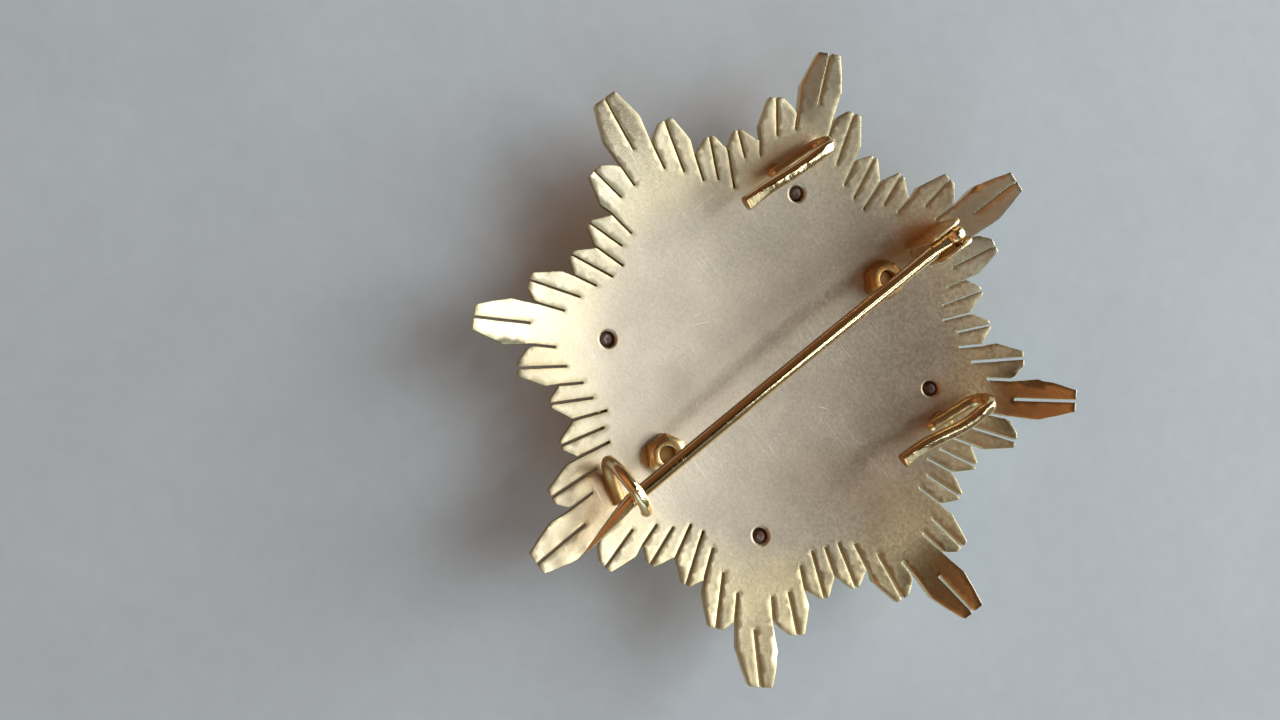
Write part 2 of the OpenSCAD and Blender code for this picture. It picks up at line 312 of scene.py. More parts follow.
def star_loop(cut_w, step):
    """Outline of the whole star, its corners softened, its edges divided and made slightly ragged."""
    corners = []
    for i in range(RAYS):
        corners += ray_outline(i, cut_w) + gap_outline(i, cut_w)
    softened = []
    for k, (here, cut) in enumerate(corners):
        into, out = here - corners[k - 1][0], corners[(k + 1) % len(corners)][0] - here
        if abs(math.atan2(into[0] * out[1] - into[1] * out[0], into @ out)) < SOFT_FROM:
            softened.append((here, cut))
            continue
        before, after = np.linalg.norm(into), np.linalg.norm(out)
        trim = min(0.07, 0.34 * before, 0.34 * after)
        softened += [(here - into / before * trim, cut), (here + out / after * trim, cut)]
    loop = []
    for k, (here, cut) in enumerate(softened):
        along = softened[(k + 1) % len(softened)][0] - here
        count = max(1, math.ceil(np.linalg.norm(along) / step))
        loop += [(here + along * n / count, SAW_ROUGH if cut else EDGE_ROUGH) for n in range(count)]
    ragged = []
    for k, (here, rough) in enumerate(loop):
        along = loop[(k + 1) % len(loop)][0] - loop[k - 1][0]
        across = np.array([-along[1], along[0]]) / max(np.linalg.norm(along), 1e-6)
        x, y = here
        moved = here + across * rough * (unevenness(x, y, 0.9, 1) + 0.7 * unevenness(x, y, 0.35, 2))
        ragged.append(moved * min(1.0, TIP_R / np.linalg.norm(moved)))
    return np.array(ragged)


def circle_loop(centre, r):
    """Round hole, turning clockwise, so that the metal is on its left."""
    angles = -np.arange(HOLE_SIDES) / HOLE_SIDES * 2 * np.pi
    return np.array(centre) + r * np.stack([np.cos(angles), np.sin(angles)], axis=1)


def inset(loop, distance):
    """The loop moved into the metal on its left by the distance."""
    def unit(rows):
        return rows / np.maximum(np.linalg.norm(rows, axis=1), 1e-9)[:, None]

    def to_left(rows):
        return np.stack([-rows[:, 1], rows[:, 0]], axis=1)

    left_in = to_left(unit(loop - np.roll(loop, 1, axis=0)))
    middle = unit(left_in + to_left(unit(np.roll(loop, -1, axis=0) - loop)))
    mitre = np.maximum((middle * left_in).sum(axis=1), 0.6)
    return loop + middle * (distance / mitre)[:, None]


def ray_lift(x, y, strength):
    """How far hand bending has moved a point of the sheet up: bent tips, twists and folds at the cuts."""
    r = math.hypot(x, y)
    a = math.degrees(math.atan2(y, x)) % 360
    i = int(round(a / RAY_STEP)) % RAYS
    group, place = divmod(i, 5)
    before = CUT_ENDS[((i - 1) % RAYS) // 5][2 * ((i - 1) % 5) + 1]
    root = max(before, CUT_ENDS[group][2 * place + 1])
    if r < root:
        return 0.0
    t = (r - root) / (RAY_KINDS[min(place, 5 - place)][0] - root)
    off = math.radians((a - i * RAY_STEP + 180) % 360 - 180) * r
    rise, twist, fold, crumple = POINT_BENDS[group]
    if place:
        rise = -0.13 + 0.12 * unevenness(3.1 * i, 0.4, 1, 11)
        twist = 1.8 * unevenness(3.1 * i, 1.7, 1, 12)
        fold = 0.7 + 0.9 * unevenness(3.1 * i, 2.9, 1, 13)
        crumple = 0.085
    from_cut = math.sqrt(off * off + 0.09) - 0.3
    return strength * (rise * t ** 1.5 + math.tan(math.radians(twist)) * off * smooth(t)
                       + math.tan(math.radians(fold)) * from_cut * min(1.0, 2 * t)
                       + crumple * t * unevenness(x, y, 1.9, 14))


class Shell:
    """Points in millimetres, faces and named values per point, turned into a Blender mesh at the end."""

    def __init__(self):
        self.points = []
        self.faces = []
        self.values = {}

    def add(self, points, **values):
        """Adds points and returns their numbers. Values are one number or one for each point."""
        start = len(self.points)
        self.points.extend([tuple(float(c) for c in p) for p in points])
        for name, value in values.items():
            column = self.values.setdefault(name, {})
            for k in range(len(points)):
                column[start + k] = float(value[k]) if hasattr(value, "__len__") else float(value)
        return list(range(start, len(self.points)))

    def bridge(self, low, high):
        """Joins two closed rings of equal length."""
        for k in range(len(low)):
            n = (k + 1) % len(low)
            self.faces.append((low[k], low[n], high[n], high[k]))

    def loft(self, rings):
        """Joins each ring to the next."""
        for low, high in zip(rings, rings[1:]):
            self.bridge(low, high)

    def fan(self, ring, centre, **values):
        """Closes a ring towards a centre point."""
        middle = self.add([centre], **values)[0]
        for k in range(len(ring)):
            self.faces.append((ring[k], ring[(k + 1) % len(ring)], middle))

    def piece(self, name, finish, even_normals=False):
        """Makes the object, without the points that no face uses. Its place is in its mesh."""
        used = sorted({k for corners in self.faces for k in corners})
        number = {k: n for n, k in enumerate(used)}
        mesh = bpy.data.meshes.new(name)
        mesh.from_pydata([tuple(c * MM for c in self.points[k]) for k in used], [],
                         [[number[k] for k in corners] for corners in self.faces])
        for key, column in self.values.items():
            values = np.zeros(len(used), np.float32)
            for k in column.keys() & number.keys():
                values[number[k]] = column[k]
            mesh.attributes.new(key, "FLOAT", "POINT").data.foreach_set("value", values)
        mesh.shade_smooth()
        mesh.validate()
        mesh.materials.append(finish_of(finish))
        obj = bpy.data.objects.new(name, mesh)
        bpy.context.scene.collection.objects.link(obj)
        if even_normals:
            modifier = obj.modifiers.new("even normals", "WEIGHTED_NORMAL")
            modifier.weight = 60
            modifier.keep_sharp = True
        return obj


def stand_in(piece, node, body="star"):
    """Rides a piece on its body in the place of one node, and hides that node."""
    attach(piece, body)
    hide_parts(node)


def sweep(shell, path, half_size, flat, up=(0, 0, 1), ends=(1.0, 1.0), soot=nothing, struck=nothing):
    """Bar of oval section along a path. half_size(k, t) gives its half widths across and along up, and
    ends says how domed the two ends are: 1 is a ball, 0.2 nearly a flat cut. flat(t) gives a flat that
    was hammered on it: the angle it faces, and its distance from the axis as a share of the half width.
    soot(t) is how brown the heat of soldering left it, with painted shade where the wire lies in shadow,
    and struck(t) how frosty the hammer left it."""
    path = [Vector(p) for p in path]
    turn = circle(WIRE_SIDES)
    last = len(path) - 1
    rings, sections = [], []
    lift = Vector(up)
    for k, point in enumerate(path):
        t = k / last
        along = (path[min(k + 1, last)] - path[max(k - 1, 0)]).normalized()
        lift = (lift - along * lift.dot(along)).normalized()
        side = along.cross(lift)
        wide, tall = half_size(k, t)
        faces, left = flat(t)
        c, s = math.cos(math.radians(faces)), math.sin(math.radians(faces))
        ring, frosted = [], []
        for a in turn:
            u, v = wide * math.cos(a), tall * math.sin(a)
            over = max(0.0, u * c + v * s - left * min(wide, tall))
            ring.append(point + side * (u - over * c) + lift * (v - over * s))
            frosted.append(struck(t) * min(1.0, over / FROST_DEPTH))
        rings.append((ring, dict(soot=soot(t), struck=frosted)))
        sections.append((point, along, side, lift, wide, tall))

    def cap(section, outwards, dome):
        """Rings over one end, and the middle of its tip."""
        point, along, side, rise, wide, tall = section
        steps = 5
        made = []
        for n in range(1, steps):
            a_n = n / steps * math.pi / 2
            out = outwards * dome * min(wide, tall) * math.sin(a_n)
            shrink = math.cos(a_n) if dome > 0.6 else 1 - (n / steps) ** 3 * 0.9
            made.append([point + along * out + side * (wide * shrink * math.cos(a))
                         + rise * (tall * shrink * math.sin(a)) for a in turn])
        return made, point + along * outwards * dome * min(wide, tall)

    start_rings, start_tip = cap(sections[0], -1, ends[0])
    end_rings, end_tip = cap(sections[-1], 1, ends[1])
    numbers = [shell.add(ring, soot=soot(0.0)) for ring in reversed(start_rings)]
    numbers += [shell.add(ring, **marks) for ring, marks in rings]
    numbers += [shell.add(ring) for ring in end_rings]
    shell.loft(numbers)
    shell.fan(numbers[0][::-1], start_tip, soot=soot(0.0))
    shell.fan(numbers[-1], end_tip)


def spin(shell, profile, place, sides, wobble=None, hollow=False):
    """Turned shape: profile rows are (radius, height), bottom first. Both ends close on the axis, or
    the profile closes on itself where the shape is hollow."""
    rings = []
    for r, z in profile:
        ring = []
        for a in circle(sides):
            grow = 1 + (wobble(a, z) if wobble else 0)
            ring.append(place @ Vector((r * grow * math.cos(a), r * grow * math.sin(a), z)))
        rings.append(shell.add(ring))
    shell.loft(rings + rings[:1] if hollow else rings)
    if not hollow:
        shell.fan(rings[0][::-1], place @ Vector((0, 0, profile[0][1])))
        shell.fan(rings[-1], place @ Vector((0, 0, profile[-1][1])))


def solder_mound(shell, place, base, top, height, lumps, seed, soot, squareness=2.0):
    """Run of solder round a foot: base and top are half sizes in X and Y, and lumps is its unevenness."""
    marks = dict(solder=1.0, soot=soot)
    turn = circle(56)
    rings = []
    for t in [row / 8 for row in range(9)]:
        wide, deep = (top[k] + (base[k] - top[k]) * (1 - t) ** 2.2 for k in range(2))
        ring = []
        for a in turn:
            c, s = math.cos(a), math.sin(a)
            grow = (abs(c) ** squareness + abs(s) ** squareness) ** (-1 / squareness)
            grow *= 1 + lumps * unevenness(2 * c + 5 * seed, 2 * s + t, 0.8, seed)
            ring.append(place @ Vector((wide * c * grow, deep * s * grow, height * t)))
        rings.append(shell.add(ring, **marks))
    for n in range(1, 4):
        shrink, rise = 1 - (n / 4) ** 2, height * (1 + 0.10 * n / 4)
        rings.append(shell.add([
            place @ Vector((top[0] * math.cos(a) * shrink, top[1] * math.sin(a) * shrink, rise))
            for a in turn], **marks))
    shell.loft(rings)
    shell.fan(rings[-1], place @ Vector((0, 0, height * 1.1)), **marks)
    shell.fan(rings[0][::-1], place @ Vector((0, 0, 0)), **marks)


def rounded_plate(shell, outline, low, high, edge, to_space):
    """Flat plate with rounded edges: the outline turns left in its own plane, low and high are its two
    faces, and to_space turns (u, v, w) into a point."""
    outline = np.array(outline, float)
    steps = [(edge, 0.0), (0.45 * edge, 0.12 * edge), (0.12 * edge, 0.45 * edge), (0.0, edge)]
    levels = [(inward, low + rise) for inward, rise in steps]
    levels += [(inward, high - rise) for inward, rise in reversed(steps)]
    rings = [shell.add([to_space(u, v, w) for u, v in inset(outline, inward)]) for inward, w in levels]
    shell.loft(rings)
    shell.faces += [rings[0][::-1], rings[-1]]


# Screw threads of the studs and nuts, in millimetres, with the rings of points in one turn
THREAD_PITCH, THREAD_DEPTH, THREAD_ROWS = 0.45, 0.1, 8


def thread_row(r, z, turn):
    """Radius and height of each point of a ring in a thread with the outer radius r."""
    return [(r - THREAD_DEPTH * (0.5 + 0.5 * math.cos(2 * math.pi * z / THREAD_PITCH + a)), z)
            for a in turn]


def upright_rings(shell, y, rows, **values):
    """Rings round an upright axis at y: each row has one (radius, height) for each of its points."""
    return [shell.add([(r * math.cos(a), y + r * math.sin(a), z)
                       for a, (r, z) in zip(circle(len(row)), row)], **values) for row in rows]


# Materials

class Nodes:
    """Short ways to place and join the nodes of one tree."""

    def __init__(self, tree):
        self.tree = tree

    def make(self, kind, settings=None, **inputs):
        """A node with its settings and its inputs, which are values or sockets."""
        made = self.tree.nodes.new(kind)
        for key, value in (settings or {}).items():
            setattr(made, key, value)
        for key, value in inputs.items():
            self.feed(made, key, value)
        return made

    def feed(self, made, key, value):
        """Sets or links one input, named by its words or its number."""
        socket = made.inputs[key]
        if isinstance(value, bpy.types.NodeSocket):
            self.tree.links.new(value, socket)
        else:
            socket.default_value = value

    def feed_all(self, made, *values):
        """Sets or links the first inputs of a node in their order."""
        for number, value in enumerate(values):
            self.feed(made, number, value)

    def sum(self, operation, a, b=0.0, clamp=False):
        """Result of one math step."""
        made = self.make("ShaderNodeMath", {"operation": operation, "use_clamp": clamp})
        self.feed_all(made, a, b)
        return made.outputs[0]

    def times(self, a, b, clamp=False):
        return self.sum("MULTIPLY", a, b, clamp)

    def plus(self, a, b, clamp=False):
        return self.sum("ADD", a, b, clamp)

    def less(self, a, b):
        return self.sum("SUBTRACT", a, b)

    def most(self, a, b):
        return self.sum("MAXIMUM", a, b)

    def blend(self, factor, a, b, mode="MIX"):
        """Mix of two colours."""
        made = self.make("ShaderNodeMix", {"data_type": "RGBA", "blend_type": mode})
        self.feed(made, 0, factor)
        for number, value in ((6, a), (7, b)):
            plain = not isinstance(value, bpy.types.NodeSocket)
            self.feed(made, number, (*value, 1.0) if plain else value)
        return made.outputs[2]

    def spread(self, value, low, high, to_low=0.0, to_high=1.0):
        """Value moved from one range to another and held inside it."""
        made = self.make("ShaderNodeMapRange")
        self.feed_all(made, value, low, high, to_low, to_high)
        return made.outputs[0]

    def point_value(self, name):
        """A value kept on the mesh's points."""
        return self.make("ShaderNodeAttribute", {"attribute_name": name}).outputs["Fac"]

    def where(self):
        """Place on the object."""
        return self.make("ShaderNodeTexCoord").outputs["Object"]

    def clouds(self, where, scale, **more):
        """Soft noise from 0 to 1."""
        return self.make("ShaderNodeTexNoise", Vector=where, Scale=scale, **more).outputs["Fac"]

    def facing(self, where, towards):
        """How far a direction points towards another: 1 along it, 0 across it."""
        dot = self.make("ShaderNodeVectorMath", {"operation": "DOT_PRODUCT"})
        self.feed_all(dot, where, towards)
        return dot.outputs["Value"]

    def use(self, name, amount):
        """The outputs of a shared group, placed with its own amount."""
        made = self.make("ShaderNodeGroup", {"node_tree": shared_group(name)})
        self.feed(made, 0, amount)
        return made.outputs


def frost_grain(nodes, per_metre):
    """Fine blasted grain: a height for bumps, and a speckle mask."""
    where = nodes.where()
    fine = nodes.clouds(where, per_metre, Detail=3.0, Roughness=0.6)
    pits = nodes.make("ShaderNodeTexVoronoi", Vector=where, Scale=nodes.times(per_metre, 0.55))
    pit_depth = nodes.spread(pits.outputs["Distance"], 0.0, 0.55)
    return {"Height": nodes.plus(nodes.times(fine, 0.6), nodes.times(pit_depth, 0.4)),
            "Speckle": nodes.spread(fine, 0.40, 0.62)}


def blotches(nodes, per_metre):
    """Large soft blotches, for uneven plating and handling."""
    wide = nodes.clouds(nodes.where(), per_metre, Detail=5.0, Roughness=0.55, Distortion=0.4)
    return {"Mask": nodes.spread(wide, 0.3, 0.7)}


def fine_scratches(nodes, amount):
    """Thin handling scratches in two directions: a mask of light lines."""
    where = nodes.where()
    lines = []
    for turn, stretch, seed in ((0.9, (40.0, 1100.0, 40.0), 3.0), (2.3, (50.0, 1500.0, 50.0), 11.0)):
        turned = nodes.make("ShaderNodeMapping", Vector=where, Location=(seed, seed, seed),
                            Rotation=(0.0, 0.0, turn), Scale=stretch)
        grain = nodes.clouds(turned.outputs[0], 1.0, Detail=2.0, Distortion=0.15)
        ridge = nodes.sum("ABSOLUTE", nodes.less(grain, 0.5))
        lines.append(nodes.spread(ridge, 0.0, 0.012, 1.0, 0.0))
    patchy = nodes.spread(nodes.clouds(where, 170.0), 0.54, 0.66)
    return {"Mask": nodes.times(nodes.times(nodes.most(*lines), patchy), amount, clamp=True)}


# Shared shader groups: how each is made, and its one input with its default
GROUPS = {
    "frost grain": (frost_grain, "Grain per metre", 5200.0),
    "plating blotches": (blotches, "Blotches per metre", 130.0),
    "fine scratches": (fine_scratches, "Amount", 0.5),
}


def shared_group(name):
    """The shader group of that name, made on first use. It gives only masks and heights."""
    if name in bpy.data.node_groups:
        return bpy.data.node_groups[name]
    maker, key, default = GROUPS[name]
    nodes = Nodes(bpy.data.node_groups.new(name, "ShaderNodeTree"))
    ends = nodes.tree.interface
    ends.new_socket(key, in_out="INPUT", socket_type="NodeSocketFloat").default_value = default
    made = maker(nodes, nodes.make("NodeGroupInput").outputs[0])
    for key in made:
        ends.new_socket(key, in_out="OUTPUT", socket_type="NodeSocketFloat")
    nodes.make("NodeGroupOutput", **made)
    return nodes.tree


class Finish(Nodes):
    """A material under construction, with its Principled shader."""

    def __init__(self, name, metallic=1.0):
        self.material = bpy.data.materials.new(name)
        self.material.use_nodes = True
        super().__init__(self.material.node_tree)
        self.shader = self.tree.nodes["Principled BSDF"]
        self.feed(self.shader, "Metallic", metallic)
        self.colours = bpy.context.scene.medal_colours

    def done(self, colour, rough, height, strength, depth):
        """Feeds colour, roughness and bumps to the shader."""
        bump = self.make("ShaderNodeBump", Strength=strength, Distance=depth, Height=height)
        self.feed(self.shader, "Base Color", colour)
        self.feed(self.shader, "Roughness", rough)
        self.feed(self.shader, "Normal", bump.outputs[0])
        return self.material


# Single deep scratches on the plate: x and y of the middle, half sizes along and across, turn in degrees
SCRATCHES = [
    (-10.2, -4.7, 2.0, 0.07, 66), (-11.3, -4.3, 0.8, 0.06, 80), (-1.7, -28.9, 1.7, 0.08, -11),
    (-22.5, 3.7, 1.5, 0.05, 93), (9.0, 2.5, 1.0, 0.06, 35),
]


def deep_scratches(f):
    """Mask of the single scratches."""
    where = f.where()
    mask = 0.0
    for x, y, along, across, turn in SCRATCHES:
        laid = f.make("ShaderNodeMapping", {"vector_type": "TEXTURE"}, Vector=where,
                      Location=(x * MM, y * MM, 0.0), Rotation=(0.0, 0.0, math.radians(turn)),
                      Scale=(along * MM, across * MM, 1.0))
        away = f.make("ShaderNodeVectorMath", {"operation": "LENGTH"})
        f.feed(away, 0, laid.outputs[0])
        mask = f.most(mask, f.spread(away.outputs["Value"], 0.4, 1.0, 1.0, 0.0))
    return mask


def plate_finish(name):
    """Frosted middle that turns to brighter gilt on the rays, with worn rims, tarnish with painted shade,
    and a painted sheen that whitens some rays.
    """
    f = Finish(name)
    grain, coarse = f.use("frost grain", 5200.0), f.use("frost grain", 2100.0)
    blotch = f.use("plating blotches", 150.0)["Mask"]
    scratch = f.use("fine scratches", 0.55)["Mask"]
    bright, pale, rim, wall, stain_and_shade, polish, grainy = (f.point_value(key) for key in (
        "bright", "pale", "rim", "wall", "stain_and_shade", "polish", "grainy"))
    colour = f.blend(bright, f.colours.frost, f.colours.gilt)
    # Painted sheen: blends the gilt towards near white on the rays where the window's reflection is
    # brightest
    colour = f.blend(pale, colour, (0.97, 0.89, 0.70))
    shade = f.spread(blotch, 0.0, 1.0, 0.90, 1.06)
    dull = f.less(1.0, f.times(polish, 0.85))
    speckle = f.spread(coarse["Speckle"], 0.0, 1.0, -0.06, 0.06)
    speck = f.plus(f.times(speckle, dull), 0.99)
    pits = f.times(f.less(1.0, grain["Speckle"]), f.times(grainy, 0.32))
    level = f.less(f.times(shade, speck), pits)
    grey = f.make("ShaderNodeCombineColor", Red=level, Green=level, Blue=level)
    colour = f.blend(1.0, colour, grey.outputs[0], "MULTIPLY")
    # Painted shade: this mask darkens the plate to the tarnish colour in the shadows beside the fittings
    # and on some points and rays, as well as where it is really tarnished
    stained_and_shaded = f.times(stain_and_shade, f.spread(blotch, 0.1, 0.8, 0.7, 1.0), clamp=True)
    colour = f.blend(f.times(stained_and_shaded, 0.85), colour, f.colours.tarnish)
    worn = f.times(rim, f.spread(grain["Speckle"], 0.1, 0.9, 0.55, 1.0), clamp=True)
    colour = f.blend(f.times(worn, 0.6), colour, (0.46, 0.37, 0.15))
    colour = f.blend(f.times(wall, 0.75), colour, (0.66, 0.50, 0.24))
    lines = f.most(f.times(scratch, 0.5), f.times(deep_scratches(f), 0.8))
    colour = f.blend(lines, colour, (0.93, 0.89, 0.80))
    rough = f.spread(bright, 0.0, 1.0, 0.45, 0.42)
    rough = f.plus(rough, f.times(f.times(speckle, 0.5), dull))
    rough = f.less(rough, f.times(rim, 0.04))
    rough = f.plus(rough, f.times(stained_and_shaded, 0.05))
    rough = f.less(rough, f.times(polish, 0.22))
    height = f.plus(f.times(grain["Height"], f.spread(polish, 0.0, 1.0, 0.5, 0.05)),
                    f.times(coarse["Height"], grainy))
    return f.done(colour, rough, f.less(height, f.times(lines, 0.8)), 0.55, 0.00004)


# Polished golds: name of the colour in the settings, roughness, amount of brown film
GOLDS = {
    "gilt clevis": ("wire", 0.26, 0.5),
    "polished wire": ("wire", 0.09, 0.22),
    "needle gilt": ("wire", 0.07, 0.15),
    "brown nut gilt": ("brown_nut", 0.36, 0.9),
    "yellow nut gilt": ("nut", 0.22, 0.35),
    "front gilt": ("front", 0.2, 0.3),
}


def gold_finish(name):
    """Polished gold with a thin uneven brown film and hand marks, and with solder, frosty hammer marks,
    and a brown mark of soldering heat that is also painted shade, where the mesh says."""
    base, rough, film = GOLDS[name]
    f = Finish(name)
    blotch = f.use("plating blotches", 420.0)["Mask"]
    grain = f.use("frost grain", 1900.0)
    scratch = f.use("fine scratches", 0.8)["Mask"]
    solder, soot, struck = (f.point_value(key) for key in ("solder", "soot", "struck"))
    colour = f.blend(solder, getattr(f.colours, base), f.colours.solder)
    film_and_shade = f.times(f.spread(blotch, 0.35, 0.95), film)
    film_and_shade = f.plus(film_and_shade, f.times(solder, 0.12))
    # Painted shade: the brown mark of soldering heat also darkens shaded wire, the clevis foot and the
    # stud ends towards tarnish
    film_and_shade = f.plus(film_and_shade, f.times(soot, 0.7), clamp=True)
    colour = f.blend(film_and_shade, colour, f.colours.tarnish)
    colour = f.blend(f.times(scratch, 0.4), colour, (0.97, 0.86, 0.58))
    dull = f.plus(f.times(film_and_shade, 0.38), rough)
    dull = f.plus(dull, f.times(grain["Speckle"], 0.05))
    dull = f.plus(dull, f.times(solder, 0.10))
    dull = f.plus(dull, f.times(struck, 0.27))
    hammered = f.times(grain["Height"], f.spread(struck, 0.0, 1.0, 1.0, 10.0))
    return f.done(colour, dull, f.less(hammered, f.times(scratch, 0.5)), 0.35, 0.00004)


def rivet_finish(name):
    """Dull dark pin with a rubbed middle."""
    f = Finish(name)
    blotch = f.use("plating blotches", 1500.0)["Mask"]
    grain = f.use("frost grain", 4200.0)
    rubbed = f.times(f.point_value("rubbed"), f.spread(grain["Speckle"], 0.2, 0.9, 0.5, 1.0), clamp=True)
    colour = f.blend(blotch, (0.10, 0.055, 0.045), (0.20, 0.12, 0.09))
    colour = f.blend(rubbed, colour, f.colours.pin)
    return f.done(colour, f.spread(rubbed, 0.0, 1.0, 0.66, 0.52), grain["Height"], 0.6, 0.00006)


def floor_finish(name):
    """Pale matt floor with faint cloudy mottling."""
    f = Finish(name, metallic=0.0)
    f.feed(f.shader, "Specular IOR Level", 0.25)
    cloud, small = (f.use("plating blotches", per_metre)["Mask"] for per_metre in (34.0, 330.0))
    level = f.plus(f.times(cloud, 0.6), f.times(small, 0.4))
    base = bpy.context.scene.medal_studio.floor
    colour = f.blend(level, [v * 0.93 for v in base], [min(1.0, v * 1.05) for v in base])
    return f.done(colour, 0.8, f.use("frost grain", 1500.0)["Height"], 0.1, 0.0001)


OTHER_FINISHES = {
    "frosted gilt back": plate_finish, "dark rivet": rivet_finish, "pale floor": floor_finish,
}


def finish_of(name):
    """The material of that name, made on first use."""
    return bpy.data.materials.get(name) or OTHER_FINISHES.get(name, gold_finish)(name)


# Places and sizes of the fittings, in millimetres
STUD_AT = 19.0
STUD_R = 1.15
STUD_HOLE_R = 1.3
STUD_H = 0.95
NUT_H, NUT_LAND_R, NUT_MOUTH_R, NUT_THREAD_R = 2.0, 1.95, 1.14, 1.25
RIVET_AT = 22.5
RIVET_HOLE_R = 1.0
RIVET_STEP = 0.75
# Radius from the mean and angle of each rivet, as drilled by hand, by node name
RIVET_SPOTS = {
    "rivet_a": (-0.3, 45.0), "rivet_b": (0.2, 135.7), "rivet_c": (0.3, 225.5), "rivet_d": (-0.3, 316.4),
}
HINGE_Y = 27.6
CATCH_X, CATCH_Y, CATCH_H, CATCH_R = -0.85, 26.0, 7.15, 3.7
CATCH_FROM, CATCH_TO = 12.0, 272.0
NEEDLE_Z = BACK_Z + 8.7
HOOK_TURN_R, HOOK_TURN_H = 1.85, 6.9
# The two side hooks: place of the turn, the hook's three turns in degrees, and its leg lengths. The
# wave is how far the free leg wanders sideways, and foot_in and foot_side place the foot of solder
HOOKS = {
    "hook_left": dict(x=-19.5, y=19.3, pitch=4.0, tilt=15.0, yaw=-0.8, free=12.2, foot=5.6, wave=0.10,
                      foot_in=0.9, foot_side=0.1),
    "hook_right": dict(x=20.05, y=17.3, pitch=4.0, tilt=14.0, yaw=-6.3, free=12.9, foot=5.8, wave=0.30,
                       foot_in=2.3, foot_side=0.9),
}
CHEEK_IN, CHEEK_T, CHEEK_R, CHEEK_FRONT, CHEEK_BACK = 1.15, 0.6, 1.7, 3.6, 2.2
EYE_R, EYE_HOLE_R, EYE_T = 1.5, 0.65, 1.8
HINGE_PIN_R = 0.6
NEEDLE_LEAN, NEEDLE_TIP, NEEDLE_POINT_R = 0.5, 8.2, 0.125
ON_HINGE = Matrix.Translation((0, HINGE_Y, NEEDLE_Z)) @ rotation("Y", 90)
# Brown tarnish on the plate round the fittings, with painted shade: the shadows of the clevis, needle,
# hooks and nuts beside them, and darker tone on some points and rays. Each row: x, y, half sizes along and
# across, turn in degrees, strength
STAINS_AND_SHADE = [
    (-1.6, 25.0, 4.6, 2.4, 85, 0.85), (-1.2, 23.0, 2.4, 1.4, 80, 0.65), (-4.0, -27.4, 2.6, 1.9, 20, 0.55),
    (-1.0, -28.4, 3.4, 1.2, 10, 0.25), (-21.1, 14.6, 3.6, 1.5, 95, 0.85), (-20.6, 11.8, 2.6, 2.0, 90, 0.4),
    (18.4, 11.4, 3.4, 1.8, 85, 0.5), (18.6, 15.8, 3.2, 1.6, 95, 0.45), (16.5, -3.2, 6.5, 5.0, 60, 0.24),
    (25.5, 25.5, 7.0, 4.0, 45, 0.75), (23.5, 1.5, 5.5, 4.5, 80, 0.42), (-0.7, -35.5, 5.0, 3.2, 90, 0.22),
    (-18.9, -24.8, 3.8, 2.6, 52, 0.30), (12.2, 24.8, 0.8, 0.5, 60, 0.35), (-15.9, 2.2, 0.7, 0.4, 20, 0.25),
    (0.0, 19.0, 3.6, 3.6, 0, 0.35), (0.0, -19.0, 3.4, 3.4, 0, 0.25),
]
# Rings over the edges of the sheet, from its back to its front: the face, the distance into the metal,
# the depth under that face, the rubbed rim, the wall, and the burr. Distance and depth are shares of
# the edge rounding, and for the rivet holes, which are bevelled and stepped, millimetres
EDGE_ROWS = [
    (back_at, 1.0, 0.0, 0.9, 0.0, 0.02), (back_at, 0.3, 0.25, 1.0, 0.0, 0.015),
    (back_at, 0.0, 0.95, 0.7, 0.35, 0.0), (front_at, 0.0, 0.9, 0.3, 1.0, 0.0),
    (front_at, 0.3, 0.25, 0.6, 0.4, 0.0), (front_at, 1.0, 0.0, 0.6, 0.0, 0.0),
]
RIVET_ROWS = [
    (back_at, 0.42, 0.0, 0.0, 0.0, 0.0), (back_at, 0.33, 0.0, 0.1, 0.0, 0.0),
    (back_at, 0.20, 0.05, 0.3, 0.0, 0.0), (back_at, 0.06, 0.13, 0.3, 0.0, 0.0),
    (back_at, 0.0, 0.3, 0.0, 1.0, 0.0), (back_at, 0.0, RIVET_STEP, 0.0, 1.0, 0.0),
    (back_at, -0.25, RIVET_STEP, 0.0, 1.0, 0.0), (front_at, -0.25, 0.0, 0.0, 1.0, 0.0),
    (front_at, 0.42, 0.0, 0.0, 0.0, 0.0),
]


def stain_and_shade_at(x, y):
    """Strength of the brown tarnish and painted shade at a point of the plate."""
    total = 0.0
    for at_x, at_y, along, across, turn, strength in STAINS_AND_SHADE:
        a = math.radians(turn)
        dx, dy = x - at_x, y - at_y
        u = (dx * math.cos(a) + dy * math.sin(a)) / along
        v = (dy * math.cos(a) - dx * math.sin(a)) / across
        total += strength * math.exp(-1.2 * (u * u + v * v))
    for offset, degrees in RIVET_SPOTS.values():
        at_x, at_y = polar(RIVET_AT + offset, degrees)
        total += 0.2 * hump(math.hypot(x - at_x, y - at_y), 1.5, 0.4)
    return min(1.0, total)


